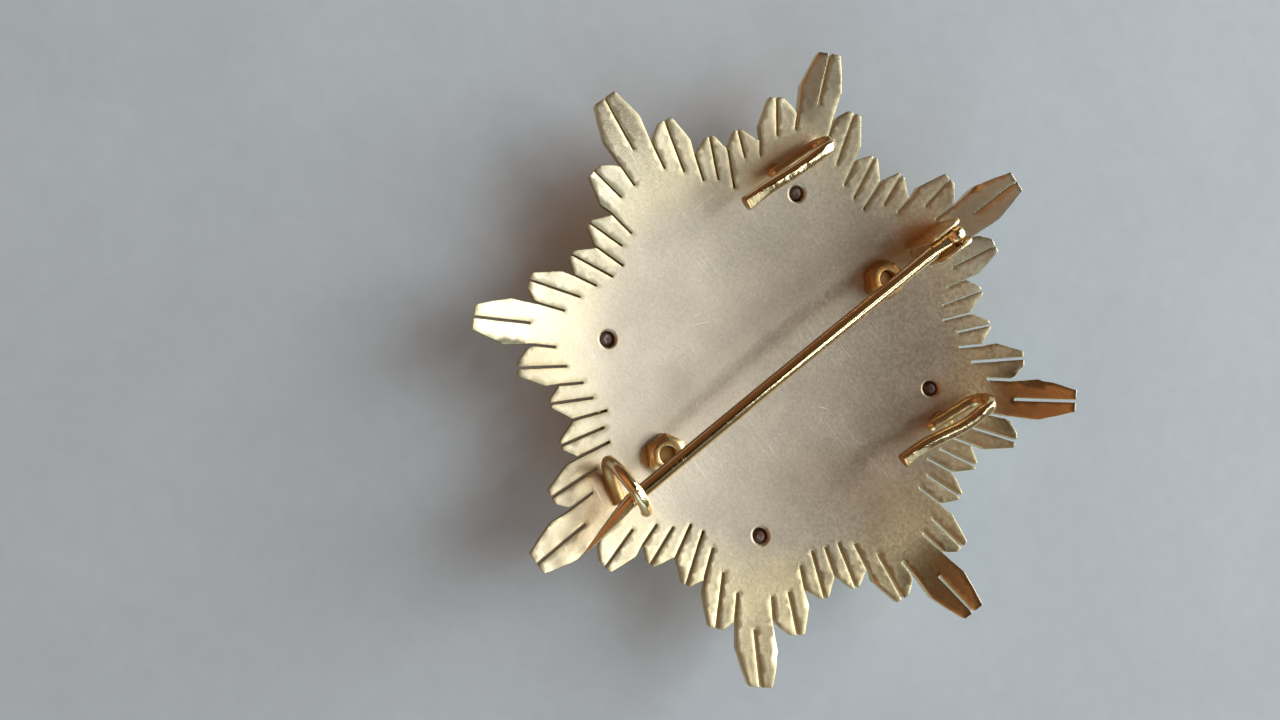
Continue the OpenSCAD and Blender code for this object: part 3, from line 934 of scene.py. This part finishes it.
def marks_at(x, y):
    """Marks of a point of the sheet: brightness of the gilt, dimmed on the lower left as painted shade,
    brown tarnish with painted shade, a painted sheen that whitens some rays, the polish of the long points
    that were rubbed most, and coarse grain."""
    r = math.hypot(x, y) + 1.6 * unevenness(x, y, 6.0, 21)
    a = math.degrees(math.atan2(y, x))
    # The gilt turns towards the frost on the upper left as uneven plating, and on the lower left as
    # painted shade that dims the window's reflection on those rays
    sector = 1 - 0.45 * max(0.0, math.cos(math.radians(a - 125)))
    sector -= 0.6 * max(0.0, math.cos(math.radians(a + 115))) ** 2
    bright = smooth(clamp((r - 21.5) / 7.5)) * sector
    # Painted sheen: whitens the rays near 200 and 79 degrees round
    pale = max(0.5 * hump(a % 360, 200, 18), 0.7 * hump(a, 79, 9)) * clamp((r - 26) / 4)
    coarse = max(1.25 * math.exp(-((x + 36) / 6) ** 2 - (y / 4.5) ** 2),
                 0.4 * math.exp(-((x + 26) / 7) ** 2 - ((y - 26) / 5) ** 2))
    if -12 < a < 147:
        off = abs((a + 22.5) % 45 - 22.5) / 9
        worn = (0.8 if a < 20 else 1.0 if a < 70 else 0.55) * math.exp(-off ** 4)
    else:
        worn = 0.3 * max(0.0, math.cos(math.radians(a + 135)))
    polish = worn * clamp((r - 29) / 4)
    on_rays = 0.10 * clamp((r - 27) / 4)
    return bright, stain_and_shade_at(x, y), pale, polish, (0.22 + on_rays + 0.9 * coarse) * (1 - polish)


def sheet_marks(points, rim, wall):
    """Named values for points of the sheet."""
    columns = zip(*(marks_at(x, y) for x, y in points))
    return dict(zip(("bright", "stain_and_shade", "pale", "polish", "grainy"), columns), rim=rim, wall=wall)


def inner_points(corners):
    """Mesh points in rings over the whole sheet, left out where they would crowd its edges."""
    tree = kdtree.KDTree(len(corners))
    for k, (x, y) in enumerate(corners):
        tree.insert((x, y, 0), k)
    tree.balance()
    inner = [np.array([0.0, 0.0])]
    r = 0.9
    while r < TIP_R:
        gap = WIDE_GAP if r < FINE_FROM else FINE_GAP
        count = max(6, int(2 * math.pi * r / gap))
        for n in range(count):
            wander = 0.12 * gap * unevenness(r * 3, n * 1.7, 1, 31)
            point = polar(r + wander, 360 * (n + 0.5 * (int(r / gap) % 2)) / count)
            if tree.find((*point, 0))[2] > EDGE_CLEAR:
                inner.append(point)
        r += gap * 0.87
    return np.array(inner)


class PieceOperator:
    """What all the operators share."""

    bl_options = {"REGISTER", "UNDO"}


class MEDAL_OT_star_sheet(PieceOperator, bpy.types.Operator):
    """Cut, drilled and hand-bent sheet of the star"""

    bl_idname = "medal.star_sheet"
    bl_label = "Star sheet"

    def execute(self, context):
        sizes = context.scene.medal_plate
        soft, dents = sizes.edge_round / MM, sizes.dents / MM
        shell = Shell()

        def surface(points, face, depth=0.0, burr=0.0):
            """Places of the points at a depth in the metal under one face."""
            into = -depth if face is back_at else depth
            made = []
            for x, y in points:
                dent = dents * (unevenness(x, y, 13.0, 5) * 2 + 0.35 * unevenness(x, y, 4.5, 6))
                lift = ray_lift(x, y, sizes.ray_bend) + dent
                z = face(math.hypot(x, y)) + lift + into
                made.append((x, y, z + burr * (0.5 + 0.9 * unevenness(x, y, 0.8, 8))))
            return made

        # Holes: centre, radius, rings over the edge and their unit, and the width of those rings
        holes = [(polar(RIVET_AT + off, a), RIVET_HOLE_R, RIVET_ROWS, 1.0, 0.41)
                 for off, a in RIVET_SPOTS.values()]
        holes += [((0, y), STUD_HOLE_R, EDGE_ROWS, soft, soft - 0.01) for y in (-STUD_AT, STUD_AT)]
        rims = [(star_loop(sizes.cut_w / MM, sizes.mesh_step / MM), EDGE_ROWS, soft)]
        rims += [(circle_loop(centre, r), rows, unit) for centre, r, rows, unit, _ in holes]
        upper, lower, boundary, edges = [], [], [], []
        for loop, rows, unit in rims:
            rings = []
            for face, inward, depth, rim, wall, burr in rows:
                points = inset(loop, inward * unit)
                rings.append(shell.add(surface(points, face, depth * unit, burr),
                                       **sheet_marks(points, rim, wall)))
            for a, b in zip(rings, rings[1:]):
                shell.bridge(b, a)
            start, count = len(upper), len(loop)
            edges += [(start + k, start + (k + 1) % count) for k in range(count)]
            upper += rings[0]
            lower += rings[-1]
            boundary.append(inset(loop, rows[0][1] * unit))
        corners = np.concatenate(boundary)
        inner = inner_points(corners)
        marks = sheet_marks(inner, 0.0, 0.0)
        upper += shell.add(surface(inner, back_at), **marks)
        lower += shell.add(surface(inner, front_at), **marks)
        flat = [Vector(p) for p in np.concatenate([corners, inner])]
        made, _, cells, origin, _, _ = geometry.delaunay_2d_cdt(flat, edges, [], 2, 1e-6)
        for cell in cells:
            middle = sum((made[v] for v in cell), Vector((0, 0))) / len(cell)
            in_hole = any((middle - Vector(centre)).length < r + rim for centre, r, _, _, rim in holes)
            if in_hole or not all(origin[v] for v in cell):
                continue
            numbers = [origin[v][0] for v in cell]
            shell.faces.append([upper[n] for n in numbers])
            shell.faces.append([lower[n] for n in reversed(numbers)])
        stand_in(shell.piece("star_sheet", "frosted gilt back"), "star_plate")
        return {"FINISHED"}


class MEDAL_OT_clevis(PieceOperator, bpy.types.Operator):
    """Clevis that holds the needle: two long cheeks on a soldered foot"""

    bl_idname = "medal.clevis"
    bl_label = "Clevis"

    def execute(self, context):
        shell = Shell()
        low_y, high_y = HINGE_Y - CHEEK_FRONT, HINGE_Y + CHEEK_BACK
        side_view = [(y, back_at(y) - 0.3) for y in (low_y, high_y)]
        side_view += [(HINGE_Y + CHEEK_R * math.cos(a), NEEDLE_Z + CHEEK_R * math.sin(a))
                      for a in np.radians(np.linspace(-8, 96, 14))]
        side_view += [(low_y + 0.85, NEEDLE_Z + CHEEK_R - 0.22), (low_y + 0.25, NEEDLE_Z + CHEEK_R - 0.7),
                      (low_y, NEEDLE_Z)]
        for side, near in ((-1, -CHEEK_IN - CHEEK_T), (1, CHEEK_IN)):

            def splayed(u, v, w):
                return (w + 0.05 * side * (v - back_at(HINGE_Y)) / 9, u, v)

            rounded_plate(shell, side_view, near, near + CHEEK_T, 0.2, splayed)
        foot = on_dish(0, HINGE_Y + (CHEEK_BACK - CHEEK_FRONT) / 2, -0.22)
        # The foot is browned by the soldering heat, and with painted shade where the cheeks and needle
        # shade it
        solder_mound(shell, foot, (3.0, 3.9), (1.6, 2.7), 0.5, 0.07, 41, soot=0.9, squareness=2.6)
        stand_in(shell.piece("clevis", "gilt clevis", True), "star_plate")
        return {"FINISHED"}


class MEDAL_OT_catch(PieceOperator, bpy.types.Operator):
    """Open ring of wire that the needle springs up into, on its foot of solder"""

    bl_idname = "medal.catch"
    bl_label = "Catch"

    def execute(self, context):
        sizes = context.scene.medal_fittings
        shell = Shell()
        r, uneven = sizes.catch_wire_d / MM / 2, sizes.hand_work
        path = []
        for a in np.radians(np.linspace(CATCH_FROM, CATCH_TO, 90)):
            ring_r = CATCH_R + 0.03 * uneven * unevenness(a * 2, 0.5, 1, 51)
            bent = max(0.0, a / math.pi - 1) ** 1.5
            path.append((CATCH_X + ring_r * math.cos(a) + 4.2 * uneven * bent,
                         -CATCH_Y - 3.8 * uneven * bent,
                         BACK_Z + CATCH_H + ring_r * math.sin(a) + bent))

        def half(k, t):
            grow = 1 + 0.03 * uneven * unevenness(t * 14, 0.3, 1, 52)
            bead = 1 + 0.07 * uneven * hump(t, 0.035, 0.03)
            return r * grow * bead, r * (2 - grow) * bead

        def flat(t):
            return 170, 1 - uneven * max(0.14 * hump(t, 0.23, 0.05), 0.12 * hump(t, 0.125, 0.022))

        # Browns the ring from its far side down to its foot: painted shade where the upper arc hides it
        # from the window, with tarnish near the solder
        def soot(t):
            return min(1.2, max(0.0, (t - 0.55) * 5))

        sweep(shell, path, half, flat, up=(0, 1, 0), ends=(0.95, 0.3), soot=soot)
        foot = on_dish(CATCH_X + 1.2, -CATCH_Y - 1.1, -0.2)
        solder_mound(shell, foot, (1.6, 1.35), (0.9, 0.75), 0.6, 0.12, 43, soot=0.5)
        stand_in(shell.piece("catch", "polished wire"), "star_plate")
        return {"FINISHED"}


class MEDAL_OT_side_hooks(PieceOperator, bpy.types.Operator):
    """Two hand-bent wire hooks, each with a soldered leg, a turn and a free leg above"""

    bl_idname = "medal.side_hooks"
    bl_label = "Side hooks"

    def execute(self, context):
        sizes = context.scene.medal_fittings
        r, uneven = sizes.hook_wire_d / MM / 2, sizes.hand_work

        def struck(t):
            return clamp((0.16 - t) / 0.04)

        # Browns the free leg's cut end, and the soldered leg from the lower part of the turn on: tarnish
        # of the soldering heat, with painted shade where the leg lies under the free leg
        def soot(t):
            return 0.9 if t < 0.012 else min(0.7, max(0.0, (t - 0.60) * 4))

        for number, (name, h) in enumerate(HOOKS.items()):
            turned = (Matrix.Translation((h["x"], h["y"], BACK_Z + HOOK_TURN_H)) @ rotation("Z", h["yaw"])
                      @ rotation("Y", h["tilt"]) @ rotation("X", h["pitch"]))
            shell = Shell()
            path = []
            for n in range(60):
                s = h["free"] * (1 - n / 60)
                wave = h["wave"] * uneven * math.sin(2 * math.pi * s / h["free"]) * min(1, s / 2)
                path.append((wave, -s, HOOK_TURN_R))
            path += [(0, HOOK_TURN_R * math.sin(a), HOOK_TURN_R * math.cos(a))
                     for a in np.radians(np.linspace(0, 180, 34))]
            path += [(0, -h["foot"] * n / 23, -HOOK_TURN_R) for n in range(1, 24)]

            def half(k, t):
                grow = 1 + 0.035 * uneven * unevenness(t * 22, number, 1, 61)
                return r * grow * (1 + 0.13 * max(0.0, 1 - t / 0.13)), r * (2 - grow)

            def flat(t):
                near_end = 0.5 - 0.5 * math.cos(math.pi * clamp((0.16 - t) / 0.10))
                near_turn = hump(t, 0.535, 0.03)
                small = max(0.0, unevenness(40 * t, 5.5 * number, 1, 62))
                faces = 83 + 9 * unevenness(25 * t, 3.1 * number, 1, 63)
                return faces, 1 - uneven * max(0.16 * near_end, 0.2 * near_turn, 0.035 + 0.08 * small)

            sweep(shell, [turned @ Vector(p) for p in path], half, flat, ends=(0.25, 1.0),
                  up=turned.to_3x3() @ Vector((0, 0, 1)), soot=soot, struck=struck)
            at = (h["foot_side"], h["foot_in"] - h["foot"], -HOOK_TURN_R - 2.3)
            solder_mound(shell, turned @ Matrix.Translation(at), (1.0, 1.2), (0.6, 0.7), 2.3, 0.08,
                         44 + number, soot=0.45)
            stand_in(shell.piece(name, "polished wire"), "star_plate")
        return {"FINISHED"}


class MEDAL_OT_nuts(PieceOperator, bpy.types.Operator):
    """Two chamfered hexagon nuts with cut threads"""

    bl_idname = "medal.nuts"
    bl_label = "Nuts"

    def execute(self, context):
        af = context.scene.medal_fittings.nut_af / MM
        top = back_at(STUD_AT) + NUT_H
        land, mouth = NUT_LAND_R, NUT_MOUTH_R
        turn = circle(96)
        for name, y, finish, soft in (("nut_top", STUD_AT, "brown nut gilt", 0.22),
                                      ("nut_bottom", -STUD_AT, "yellow nut gilt", 0.06)):

            def hexagon(a):
                """Radius of the nut's side at an angle, its corners rounded by soft."""
                from_flat = abs((math.degrees(a) + 30) % 60 - 30)
                corner = max(0.0, (from_flat - 24) / 6)
                return af / 2 / math.cos(math.radians(from_flat)) - soft * corner * corner

            def chamfer(r):
                return top - max(0.0, (r - land) * 0.75)

            side = [hexagon(a) for a in turn]
            low = [back_at(math.hypot(r * math.cos(a), y + r * math.sin(a))) + REST_GAP
                   for a, r in zip(turn, side)]
            rows = [[(r - 0.05, z) for r, z in zip(side, low)], [(r, z + 0.05) for r, z in zip(side, low)]]
            for drop, inward in ((0.12, 0.0), (0.04, 0.02), (0.0, 0.07)):
                rows.append([(r - inward, chamfer(r - inward) - drop) for r in side])
            rows += [[row] * len(turn) for row in (
                (land + 0.12, chamfer(land + 0.12)), (land - 0.04, top - 0.01), (land - 0.14, top),
                (mouth + 0.14, top), (mouth + 0.03, top - 0.04), (mouth, top - 0.14), (mouth, top - 0.35))]
            z = top - 0.45
            while z > top - 2.5:
                rows.append(thread_row(NUT_THREAD_R, z, turn))
                z -= THREAD_PITCH / THREAD_ROWS
            shell = Shell()
            rings = upright_rings(shell, y, rows)
            shell.loft(rings + rings[:1])
            stand_in(shell.piece("hex_" + name, finish, True), name)
        return {"FINISHED"}


class MEDAL_OT_rivets(PieceOperator, bpy.types.Operator):
    """Four dark rivet ends, sunk in their holes"""

    bl_idname = "medal.rivets"
    bl_label = "Rivets"

    def execute(self, context):
        # Radius and height over the step in the hole
        head = [(0.62, 0.02), (0.84, 0.06), (0.90, 0.14), (0.88, 0.24), (0.70, 0.32), (0.62, 0.40),
                (0.54, 0.45), (0.34, 0.47), (0.14, 0.44)]
        profile = [(0.62, -SHEET_T - 0.85)] + [(r, z - RIVET_STEP) for r, z in head]
        for number, (name, (off, degrees)) in enumerate(RIVET_SPOTS.items()):

            def wobble(a, z):
                return 0.05 * unevenness(2 * math.cos(a) + 9 * number, 2 * math.sin(a) + z, 0.9, 71)

            shell = Shell()
            spin(shell, profile, on_dish(*polar(RIVET_AT + off, degrees), 0.0), 40, wobble)
            top = max(p[2] for p in shell.points)
            shell.values["rubbed"] = {k: p[2] > top - 0.12 for k, p in enumerate(shell.points)}
            stand_in(shell.piece("sunk_" + name, "dark rivet"), name)
        return {"FINISHED"}


class MEDAL_OT_hinge_pin(PieceOperator, bpy.types.Operator):
    """Pin through the clevis with a peened head at each end"""

    bl_idname = "medal.hinge_pin"
    bl_label = "Hinge pin"

    def execute(self, context):
        shell = Shell()
        half = CHEEK_IN + CHEEK_T
        end = [(0.35, -half - 0.15), (0.62, -half - 0.12), (0.78, -half - 0.02), (0.72, -half + 0.1),
               (HINGE_PIN_R, -half + 0.12)]
        spin(shell, end + [(r, -z) for r, z in reversed(end)], ON_HINGE, 40)
        stand_in(shell.piece("peened_pin", "gilt clevis"), "hinge_pin")
        return {"FINISHED"}


class MEDAL_OT_needle(PieceOperator, bpy.types.Operator):
    """Brooch needle with its eye, a long round shaft and a bent tapered tip"""

    bl_idname = "medal.needle"
    bl_label = "Needle"

    def execute(self, context):
        r = context.scene.medal_fittings.needle_d / MM / 2
        shell = Shell()
        half = [(EYE_HOLE_R, EYE_T / 2 - 0.18), (EYE_HOLE_R + 0.06, EYE_T / 2 - 0.05)]
        half += [(EYE_R - 0.6 * (1 - math.sin(a)), EYE_T / 2 - 0.6 * (1 - math.cos(a)))
                 for a in np.radians(np.linspace(0, 90, 6))]
        spin(shell, [(eye_r, -z) for eye_r, z in half] + half[::-1], ON_HINGE, 48, hollow=True)

        lean = math.radians(NEEDLE_LEAN)
        along = Vector((math.sin(lean), -math.cos(lean), 0))
        tip_turn = rotation("Z", NEEDLE_LEAN) @ rotation("X", 90) @ rotation("Y", 10) @ rotation("X", 2)
        tip_along = tip_turn.to_3x3() @ Vector((0, 0, 1))
        start = Vector((0, HINGE_Y, NEEDLE_Z))
        first, shaft = 1.15, HINGE_Y + CATCH_Y + 0.8
        path, radii = [], []
        for n in range(130):
            s = first + (shaft - first) * n / 130
            bow = -0.12 * math.sin(math.pi * s / shaft)
            path.append(start + along * s + Vector((bow, 0, 0)))
            near_eye = max(0.0, 1 - (s - first) / 4.5)
            radii.append((r * (1 + 0.13 * near_eye), r * (1 + 0.45 * near_eye * near_eye)))
        for t in [n / 39 for n in range(40)]:
            path.append(start + along * shaft + tip_along * (NEEDLE_TIP * t))
            radii.append([r + (NEEDLE_POINT_R - r) * t ** 1.25] * 2)

        def flat(t):
            return 80, 1 - 0.16 * clamp((t - 0.77) * 12)

        sweep(shell, path, lambda k, t: radii[k], flat, ends=(0.3, 1.0))
        stand_in(shell.piece("brooch_needle", "needle gilt"), "needle", body="needle")
        return {"FINISHED"}


class MEDAL_OT_front_boss(PieceOperator, bpy.types.Operator):
    """Plain domed disc on the front, with the two threaded studs"""

    bl_idname = "medal.front_boss"
    bl_label = "Front boss"

    def execute(self, context):
        shell = Shell()
        boss_r, flat_r, low_step, dome_r = BOSS_R, 10.0, 0.7, 16.0
        lip = front_at(boss_r) - REST_GAP - 1.0
        profile = [(flat_r - 1.0, 0.0), (flat_r - 0.2, 0.01), (flat_r + 0.3, 0.14),
                   (flat_r + 1.2, low_step - 0.13), (flat_r + 1.6, low_step + 0.02)]
        profile += [(flat_r + 1.5 + (dome_r - flat_r - 1.5) * t, low_step * (1 + t))
                    for t in [n / 6 for n in range(1, 7)]]
        profile += [(dome_r + (boss_r - 1 - dome_r) * t, 2 * low_step + (lip - 0.15 - 2 * low_step) * t)
                    for t in [n / 8 for n in range(1, 9)]]
        profile += [(boss_r - 0.6, lip - 0.02), (boss_r - 0.12, lip + 0.2), (boss_r, lip + 0.4),
                    (boss_r, lip + 0.8), (boss_r - 0.06, lip + 0.93), (boss_r - 0.2, lip + 0.97)]
        profile += [(r, front_at(r) - REST_GAP) for r in [boss_r * n / 9.3 for n in range(9, 0, -1)]]
        spin(shell, profile, Matrix.Identity(4), 128)

        turn = circle(48)
        # The stud ends take the solder colour and are browned as painted shade deep in the nut bores
        marks = dict(soot=0.9, solder=1.0)
        low, high = front_at(STUD_AT) - 0.4, back_at(STUD_AT) + STUD_H
        rows = []
        z = low
        while z < high - 0.12:
            rows.append(thread_row(STUD_R, z, turn))
            z += THREAD_PITCH / THREAD_ROWS
        rows += [[(STUD_R * shrink, high - 0.12 + rise)] * len(turn)
                 for shrink, rise in ((0.95, 0.06), (0.8, 0.1), (0.4, 0.12))]
        for y in (-STUD_AT, STUD_AT):
            rings = upright_rings(shell, y, rows, **marks)
            shell.loft(rings)
            shell.fan(rings[-1], (0, y, high), **marks)
            shell.fan(rings[0][::-1], (0, y, low))
        stand_in(shell.piece("domed_boss", "front gilt"), "front_boss")
        return {"FINISHED"}


# Brightness of the room by how far a direction turns towards the window: 0 across from it, 1 at it
ROOM_TONES = [
    (0.0, (0.16, 0.070, 0.037)), (1.0, (0.27, 0.295, 0.30)), (0.30, (0.115, 0.055, 0.024)),
    (0.50, (0.08, 0.040, 0.018)), (0.60, (0.10, 0.068, 0.03)), (0.75, (0.135, 0.13, 0.105)),
    (0.90, (0.20, 0.21, 0.20)),
]
# Round spots of the room: direction, as an angle round from +X and an angle from straight up, and how
# far the full part and the soft edge reach from the middle, all in degrees. The glows are cool daylight
# from a far window, warm light thrown back from behind the camera, and a pale patch of ceiling
GLOWS = [
    ((327.0, 67.0, 14.0, 36.0), (0.85, 1.35, 1.60)),
    ((245.0, 42.0, 2.0, 42.0), (0.37, 0.185, 0.09)),
    ((345.0, 24.0, 0.0, 25.0), (0.11, 0.15, 0.165)),
]
# Dark beam under the ceiling, and the share of the light that is left there
BEAM = (62.0, 13.0, 9.0, 23.0)
BEAM_LEFT = 0.15
LIGHT_COLOUR = (0.91, 1.0, 1.06)
FLOOR_HALF = 1200.0
FLOOR_CELLS = 24

# Camera, fitted to the photograph: its place in millimetres and its turns in degrees
CAMERA_AT = (-25.49, -43.56, 133.32)
CAMERA_TURNS = (("Z", 45.0), ("X", 4.78), ("Y", -13.46), ("Z", 8.73))
LENS_MM = 29.35


def towards(up, round_to):
    """Direction at a height over the horizon and an angle round from +X, in radians."""
    return Vector((math.cos(up) * math.cos(round_to), math.cos(up) * math.sin(round_to), math.sin(up)))


def inside(nodes, where, spot):
    """How far a direction lies inside a round spot of the room: 1 in its middle, 0 past its edge."""
    round_to, from_top, inner, outer = spot
    from_top = math.radians(from_top)
    over = nodes.facing(where, (*polar(math.sin(from_top), round_to), math.cos(from_top)))
    return nodes.spread(over, math.cos(math.radians(outer)), math.cos(math.radians(inner)))


class MEDAL_OT_stage(PieceOperator, bpy.types.Operator):
    """Pale floor, soft window light and camera"""

    bl_idname = "medal.stage"
    bl_label = "Stage"

    def execute(self, context):
        scene = context.scene
        self.floor()
        self.room(scene, scene.medal_studio)
        self.window(scene.medal_studio)
        lens = bpy.data.cameras.new("camera")
        lens.sensor_width = 36.0
        lens.sensor_fit = "HORIZONTAL"
        lens.lens = LENS_MM
        lens.clip_start = 0.002
        lens.clip_end = 20.0
        camera = bpy.data.objects.new("camera", lens)
        placed = Matrix.Translation([c * MM for c in CAMERA_AT])
        for axis, degrees in CAMERA_TURNS:
            placed = placed @ rotation(axis, degrees)
        camera.matrix_world = placed
        scene.collection.objects.link(camera)
        scene.camera = camera
        scene.view_settings.view_transform = "Standard"
        scene.view_settings.look = "None"
        return {"FINISHED"}

    def floor(self):
        """Wide flat floor, divided into cells."""
        shell = Shell()
        lines = [-FLOOR_HALF + 2 * FLOOR_HALF * i / FLOOR_CELLS for i in range(FLOOR_CELLS + 1)]
        rows = [shell.add([(x, y, 0.0) for x in lines]) for y in lines]
        for low, high in zip(rows, rows[1:]):
            for k in range(FLOOR_CELLS):
                shell.faces.append((low[k], low[k + 1], high[k + 1], high[k]))
        floor = shell.piece("floor", "pale floor")

    def room(self, scene, studio):
        """Soft gradient: dim and warm away from the window, pale towards it."""
        world = bpy.data.worlds.new("studio room")
        scene.world = world
        world.use_nodes = True
        nodes = Nodes(world.node_tree)
        out = world.node_tree.nodes["Background"]
        where = nodes.make("ShaderNodeTexCoord").outputs["Generated"]
        at_window = nodes.facing(where, towards(studio.window_up, studio.window_from))
        ramp = nodes.make("ShaderNodeValToRGB", Fac=at_window)
        stops = ramp.color_ramp.elements
        for number, (at, rgb) in enumerate(ROOM_TONES):
            stop = stops[number] if number < 2 else stops.new(at)
            stop.position = at
            stop.color = (*rgb, 1.0)
        colour = ramp.outputs["Color"]
        for glow, tone in GLOWS:
            colour = nodes.blend(inside(nodes, where, glow), colour, tone, "ADD")
        nodes.feed(out, "Color", colour)
        left = nodes.spread(inside(nodes, where, BEAM), 0.0, 1.0, 1.0, BEAM_LEFT)
        nodes.feed(out, "Strength", nodes.times(left, studio.sky))

    def window(self, studio):
        """Large soft window, a brighter strip at its foot, and narrow gaps over and beside its blind."""
        power, up, turn = studio.window, studio.window_up, studio.window_from
        self.panel("window", up, turn, (0.768, 0.808), power, 0.0)
        self.panel("low window", math.radians(8), turn, (0.733, 0.211), 0.36 * power, 0.0)
        self.panel("blind gap", up + math.radians(34), turn - math.radians(6), (0.333, 0.075),
                   0.055 * power, -35.0)
        self.panel("window side", up + math.radians(17), turn - math.radians(33), (0.035, 0.38),
                   0.06 * power, 0.0)

    def panel(self, name, up, round_to, size, power, roll):
        """Flat panel of light that faces the star from the given height and direction."""
        light = bpy.data.lights.new(name, "AREA")
        light.shape = "RECTANGLE"
        light.size, light.size_y = size
        light.energy = power
        light.color = LIGHT_COLOUR
        panel = bpy.data.objects.new(name, light)
        away = towards(up, round_to)
        panel.matrix_world = (Matrix.Translation(away) @ away.to_track_quat("Z", "Y").to_matrix().to_4x4()
                              @ rotation("Z", roll))
        bpy.context.scene.collection.objects.link(panel)


STEPS = (
    MEDAL_OT_stage, MEDAL_OT_star_sheet, MEDAL_OT_clevis, MEDAL_OT_catch, MEDAL_OT_side_hooks,
    MEDAL_OT_nuts, MEDAL_OT_rivets, MEDAL_OT_hinge_pin, MEDAL_OT_needle, MEDAL_OT_front_boss,
)


class MEDAL_PT_sidebar(bpy.types.Panel):
    """Sizes, colours and the steps of the build"""

    bl_idname = "MEDAL_PT_sidebar"
    bl_label = "Breast star"
    bl_space_type = "VIEW_3D"
    bl_region_type = "UI"
    bl_category = "Star"

    def draw(self, context):
        for name in SETTINGS:
            box = self.layout.box()
            settings = getattr(context.scene, name)
            for key in settings.__annotations__:
                box.prop(settings, key)
        for step in STEPS:
            self.layout.operator(step.bl_idname)


CLASSES = (*SETTINGS.values(), *STEPS, MEDAL_PT_sidebar)


def register():
    for cls in CLASSES:
        bpy.utils.register_class(cls)
    for name, cls in SETTINGS.items():
        setattr(bpy.types.Scene, name, bpy.props.PointerProperty(type=cls))


def unregister():
    for name in SETTINGS:
        delattr(bpy.types.Scene, name)
    for cls in reversed(CLASSES):
        bpy.utils.unregister_class(cls)


def main():
    register()
    for step in STEPS:
        area, name = step.bl_idname.split(".")
        getattr(getattr(bpy.ops, area), name)()


if __name__ == "__main__":
    main()
